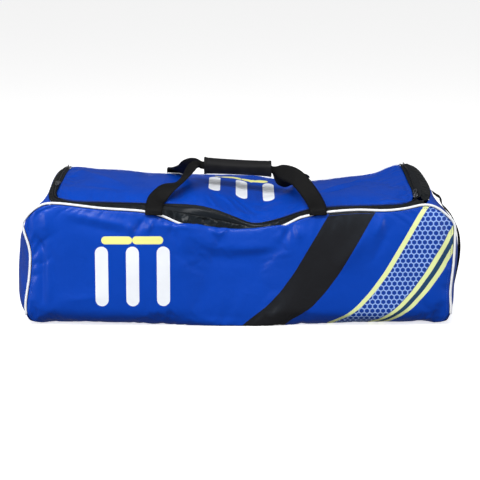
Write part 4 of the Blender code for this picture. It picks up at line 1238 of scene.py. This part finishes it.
# %% Slider metal
# Dark plating, rubbed brighter in places: a clear glint where the casting catches the light
plated, tree, shader, _, noise = mottled("zinc_casting_plated_dark", "#4b4d52", "#8a8d93", 240.0, 3.0)
gloss = add(tree, "ShaderNodeMapRange", {0: noise, 3: 0.26, 4: 0.44})
tree.links.new(gloss.outputs[0], shader.inputs["Roughness"])
shader.inputs["Metallic"].default_value = 1.0


# %% Slider shapes
def loft(shape, rings, closed_path=False):
    """Quads over rings of points in a bmesh, with faces over both ends of an open path."""
    made = [[shape.verts.new(p) for p in ring] for ring in rings]
    count = len(made)
    for i in range(count if closed_path else count - 1):
        here, there = made[i], made[(i + 1) % count]
        for k in range(len(here)):
            n = (k + 1) % len(here)
            shape.faces.new((here[k], here[n], there[n], there[k]))
    if not closed_path:
        shape.faces.new(made[0][::-1])
        shape.faces.new(made[-1])


def rounded(half_width, half_height, points=16, powers=(0.5, 0.5)):
    """A rounded rectangle as pairs of offsets. Smaller powers make its sides straighter."""
    turns = 2 * math.pi * np.arange(points) / points
    pairs = np.column_stack((np.cos(turns), np.sin(turns)))
    return np.sign(pairs) * np.abs(pairs) ** powers * (half_width, half_height)


# place along the slider, half width, height of the top, in metres
SLIDER_BODY = (
    (-0.0085, 0.0034, 0.0016),
    (-0.0078, 0.0048, 0.0022),
    (-0.0050, 0.0060, 0.0026),
    (0.0000, 0.0055, 0.0027),
    (0.0050, 0.0048, 0.0025),
    (0.0078, 0.0040, 0.0020),
    (0.0085, 0.0028, 0.0014),
)
BODY_HALF_LENGTH = 0.0085
BRIDGE_HALF_LENGTH, BRIDGE_FOOT, BRIDGE_RISE = 0.0052, 0.0020, 0.0022
BRIDGE_HALF_SIZES = (0.0011, 0.0005)
PULL_HALF_LENGTH, PULL_HALF_WIDTH, PULL_SLOT = 0.0125, 0.0042, 0.0017
PULL_START, PULL_HEIGHT, PULL_THICKNESS = 0.0042, 0.0032, 0.0012
PULL_RIM, PULL_SLOPE, PULL_POWERS = 0.0030, 0.04, (0.45, 0.8)
# Points further than this from the middle are at the slider's ends, of which the body's is the wider
END_SPAN = 0.012
EDGE_ROUNDING = 0.00025


def slider_axes(node):
    """Where a slider's body starts, and the directions along, across and up it, from the frame."""
    points = np.array([v.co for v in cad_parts[node].data.vertices])
    centre = points.mean(axis=0)
    around = points - centre
    axes = np.linalg.svd(around, full_matrices=False)[2]
    along, up = axes[0], axes[2] * np.sign(axes[2][2])
    run, aside = around @ along, np.abs(around @ np.cross(up, along))
    if aside[run < -END_SPAN].max() < aside[run > END_SPAN].max():
        along, run = -along, -run
    start = centre + along * (run.min() + BODY_HALF_LENGTH) + up * (around @ up).min()
    return start, np.array((along, np.cross(up, along), up))


def slider_piece(name, node):
    """A slider in one mesh: its body, the bridge over it, and a flat pull with a slot."""
    start, axes = slider_axes(node)

    def placed(local):
        return start + np.asarray(local) @ axes

    shape = bmesh.new()
    loft(shape, [
        placed([(x, a, top / 2 + b) for a, b in rounded(half, top / 2)]) for x, half, top in SLIDER_BODY
    ])
    bridge = []
    for t in np.linspace(0, 1, 11):
        height = BRIDGE_FOOT + BRIDGE_RISE * math.sin(math.pi * t) ** 0.6
        centre = np.array((BRIDGE_HALF_LENGTH * (2 * t - 1), 0.0, height))
        section = rounded(*BRIDGE_HALF_SIZES, 10, (0.8, 0.8))
        bridge.append(placed([centre + (0.0, a, b) for a, b in section]))
    loft(shape, bridge)
    pull_centre = (PULL_START + PULL_HALF_LENGTH, 0.0)
    outer = rounded(PULL_HALF_LENGTH, PULL_HALF_WIDTH, 40, PULL_POWERS) + pull_centre
    inner = rounded(PULL_HALF_LENGTH - PULL_RIM, PULL_SLOT, 40, PULL_POWERS) + pull_centre
    pull = []
    for far, near in zip(outer, inner):
        corners = ((far, 0.0), (near, 0.0), (near, PULL_THICKNESS), (far, PULL_THICKNESS))
        pull.append(placed([(x, y, PULL_HEIGHT - PULL_SLOPE * x + h) for (x, y), h in corners]))
    loft(shape, pull, closed_path=True)
    bmesh.ops.recalc_face_normals(shape, faces=shape.faces)
    mesh = bpy.data.meshes.new(name)
    shape.to_mesh(mesh)
    shape.free()
    piece = bpy.data.objects.new(name, mesh)
    scene.collection.objects.link(piece)
    edges = piece.modifiers.new("edges", "BEVEL")
    edges.width = EDGE_ROUNDING
    edges.segments = 2
    edges.limit_method = "ANGLE"
    edges.angle_limit = math.radians(50)
    mesh.shade_smooth()
    dress(piece, plated, "slider_metal", node)
    print(name, "starts at", start.round(3).tolist(), "and has", len(mesh.polygons), "faces")


for side_name in ("left", "right"):
    slider_piece(f"{side_name}_slider_casting", f"zip_slider_{side_name}")

# %% [markdown]
# ## Stitches
# A sewn seam shows as a row of short raised threads. One link is a stitch: a little bent thread 3 mm long.
# Geometry Nodes set it along lines that lie on the finished cloth. The lines follow the piping on the
# front, both edges of the gusset, the zip tape and the edges of the lid.

# %% Stitch link and thread material
# Spun thread: short fibres leave it dull, a shade lighter than the cloth, so that a seam reads as dots
thread, _, shader, *_ = mottled("spun_polyester_thread_black", "#141416", "#38383c", 900.0)
shader.inputs["Roughness"].default_value = 0.62
blue_thread, _, shader, *_ = mottled("spun_polyester_thread_blue", "#0c3da0", "#2f63d0", 900.0)
shader.inputs["Roughness"].default_value = 0.58

STITCH_HALF, STITCH_RISE, STITCH_RADIUS = 0.0014, 0.00028, 0.00038
stitch_rings = []
for t in np.linspace(-1, 1, 6):
    centre = np.array((0.0, 0.0, STITCH_RISE * (1 - t * t)))
    size = STITCH_RADIUS * (1 - 0.45 * t * t)
    turns = 2 * math.pi * np.arange(5) / 5
    ring = [centre + np.array((math.cos(a) * size, math.sin(a) * size, t * STITCH_HALF)) for a in turns]
    stitch_rings.append(ring)
stitch_link = as_tool(ring_mesh("stitch_link", stitch_rings))
black_stitches = along_path_tree("black stitches along a line", thread)
blue_stitches = along_path_tree("blue stitches along a line", blue_thread)


# %% Lines of stitches on the finished cloth
def raised(grid, row, height=0.00025):
    """A row of a sheet, lifted a little off the cloth."""
    return grid[row] + outward(grid)[row] * height


lid_columns, front_columns = lid.transpose(1, 0, 2), front.transpose(1, 0, 2)
BLACK_SEAM = (black_stitches, "black_cloth", 0.0040)
BLUE_SEAM = (blue_stitches, "blue_cloth", 0.0042)
stitch_lines = {
    "gusset_outer_stitches": (raised(gusset, 1), BLACK_SEAM),
    "gusset_inner_stitches": (raised(gusset, -3), BLACK_SEAM),
    "tape_outer_stitches": (raised(tape, 2), BLACK_SEAM),
    "lid_front_stitches": (raised(lid, -3)[3:-3], BLUE_SEAM),
    "lid_left_stitches": (raised(lid_columns, 2)[3:-3], BLUE_SEAM),
    "lid_right_stitches": (raised(lid_columns, -3)[3:-3], BLUE_SEAM),
    "front_top_stitches": (raised(front, -3)[3:-3], BLUE_SEAM),
    "front_left_stitches": (raised(front_columns, 2)[12:-3], BLUE_SEAM),
    "front_right_stitches": (raised(front_columns, -3)[12:-3], BLUE_SEAM),
}
for name, (points, (tree, slot, step)) in stitch_lines.items():
    piece = along_path(name, points, tree, stitch_link, step)
    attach(piece, "root")
    print(name, len(piece.data.polygons), "faces")
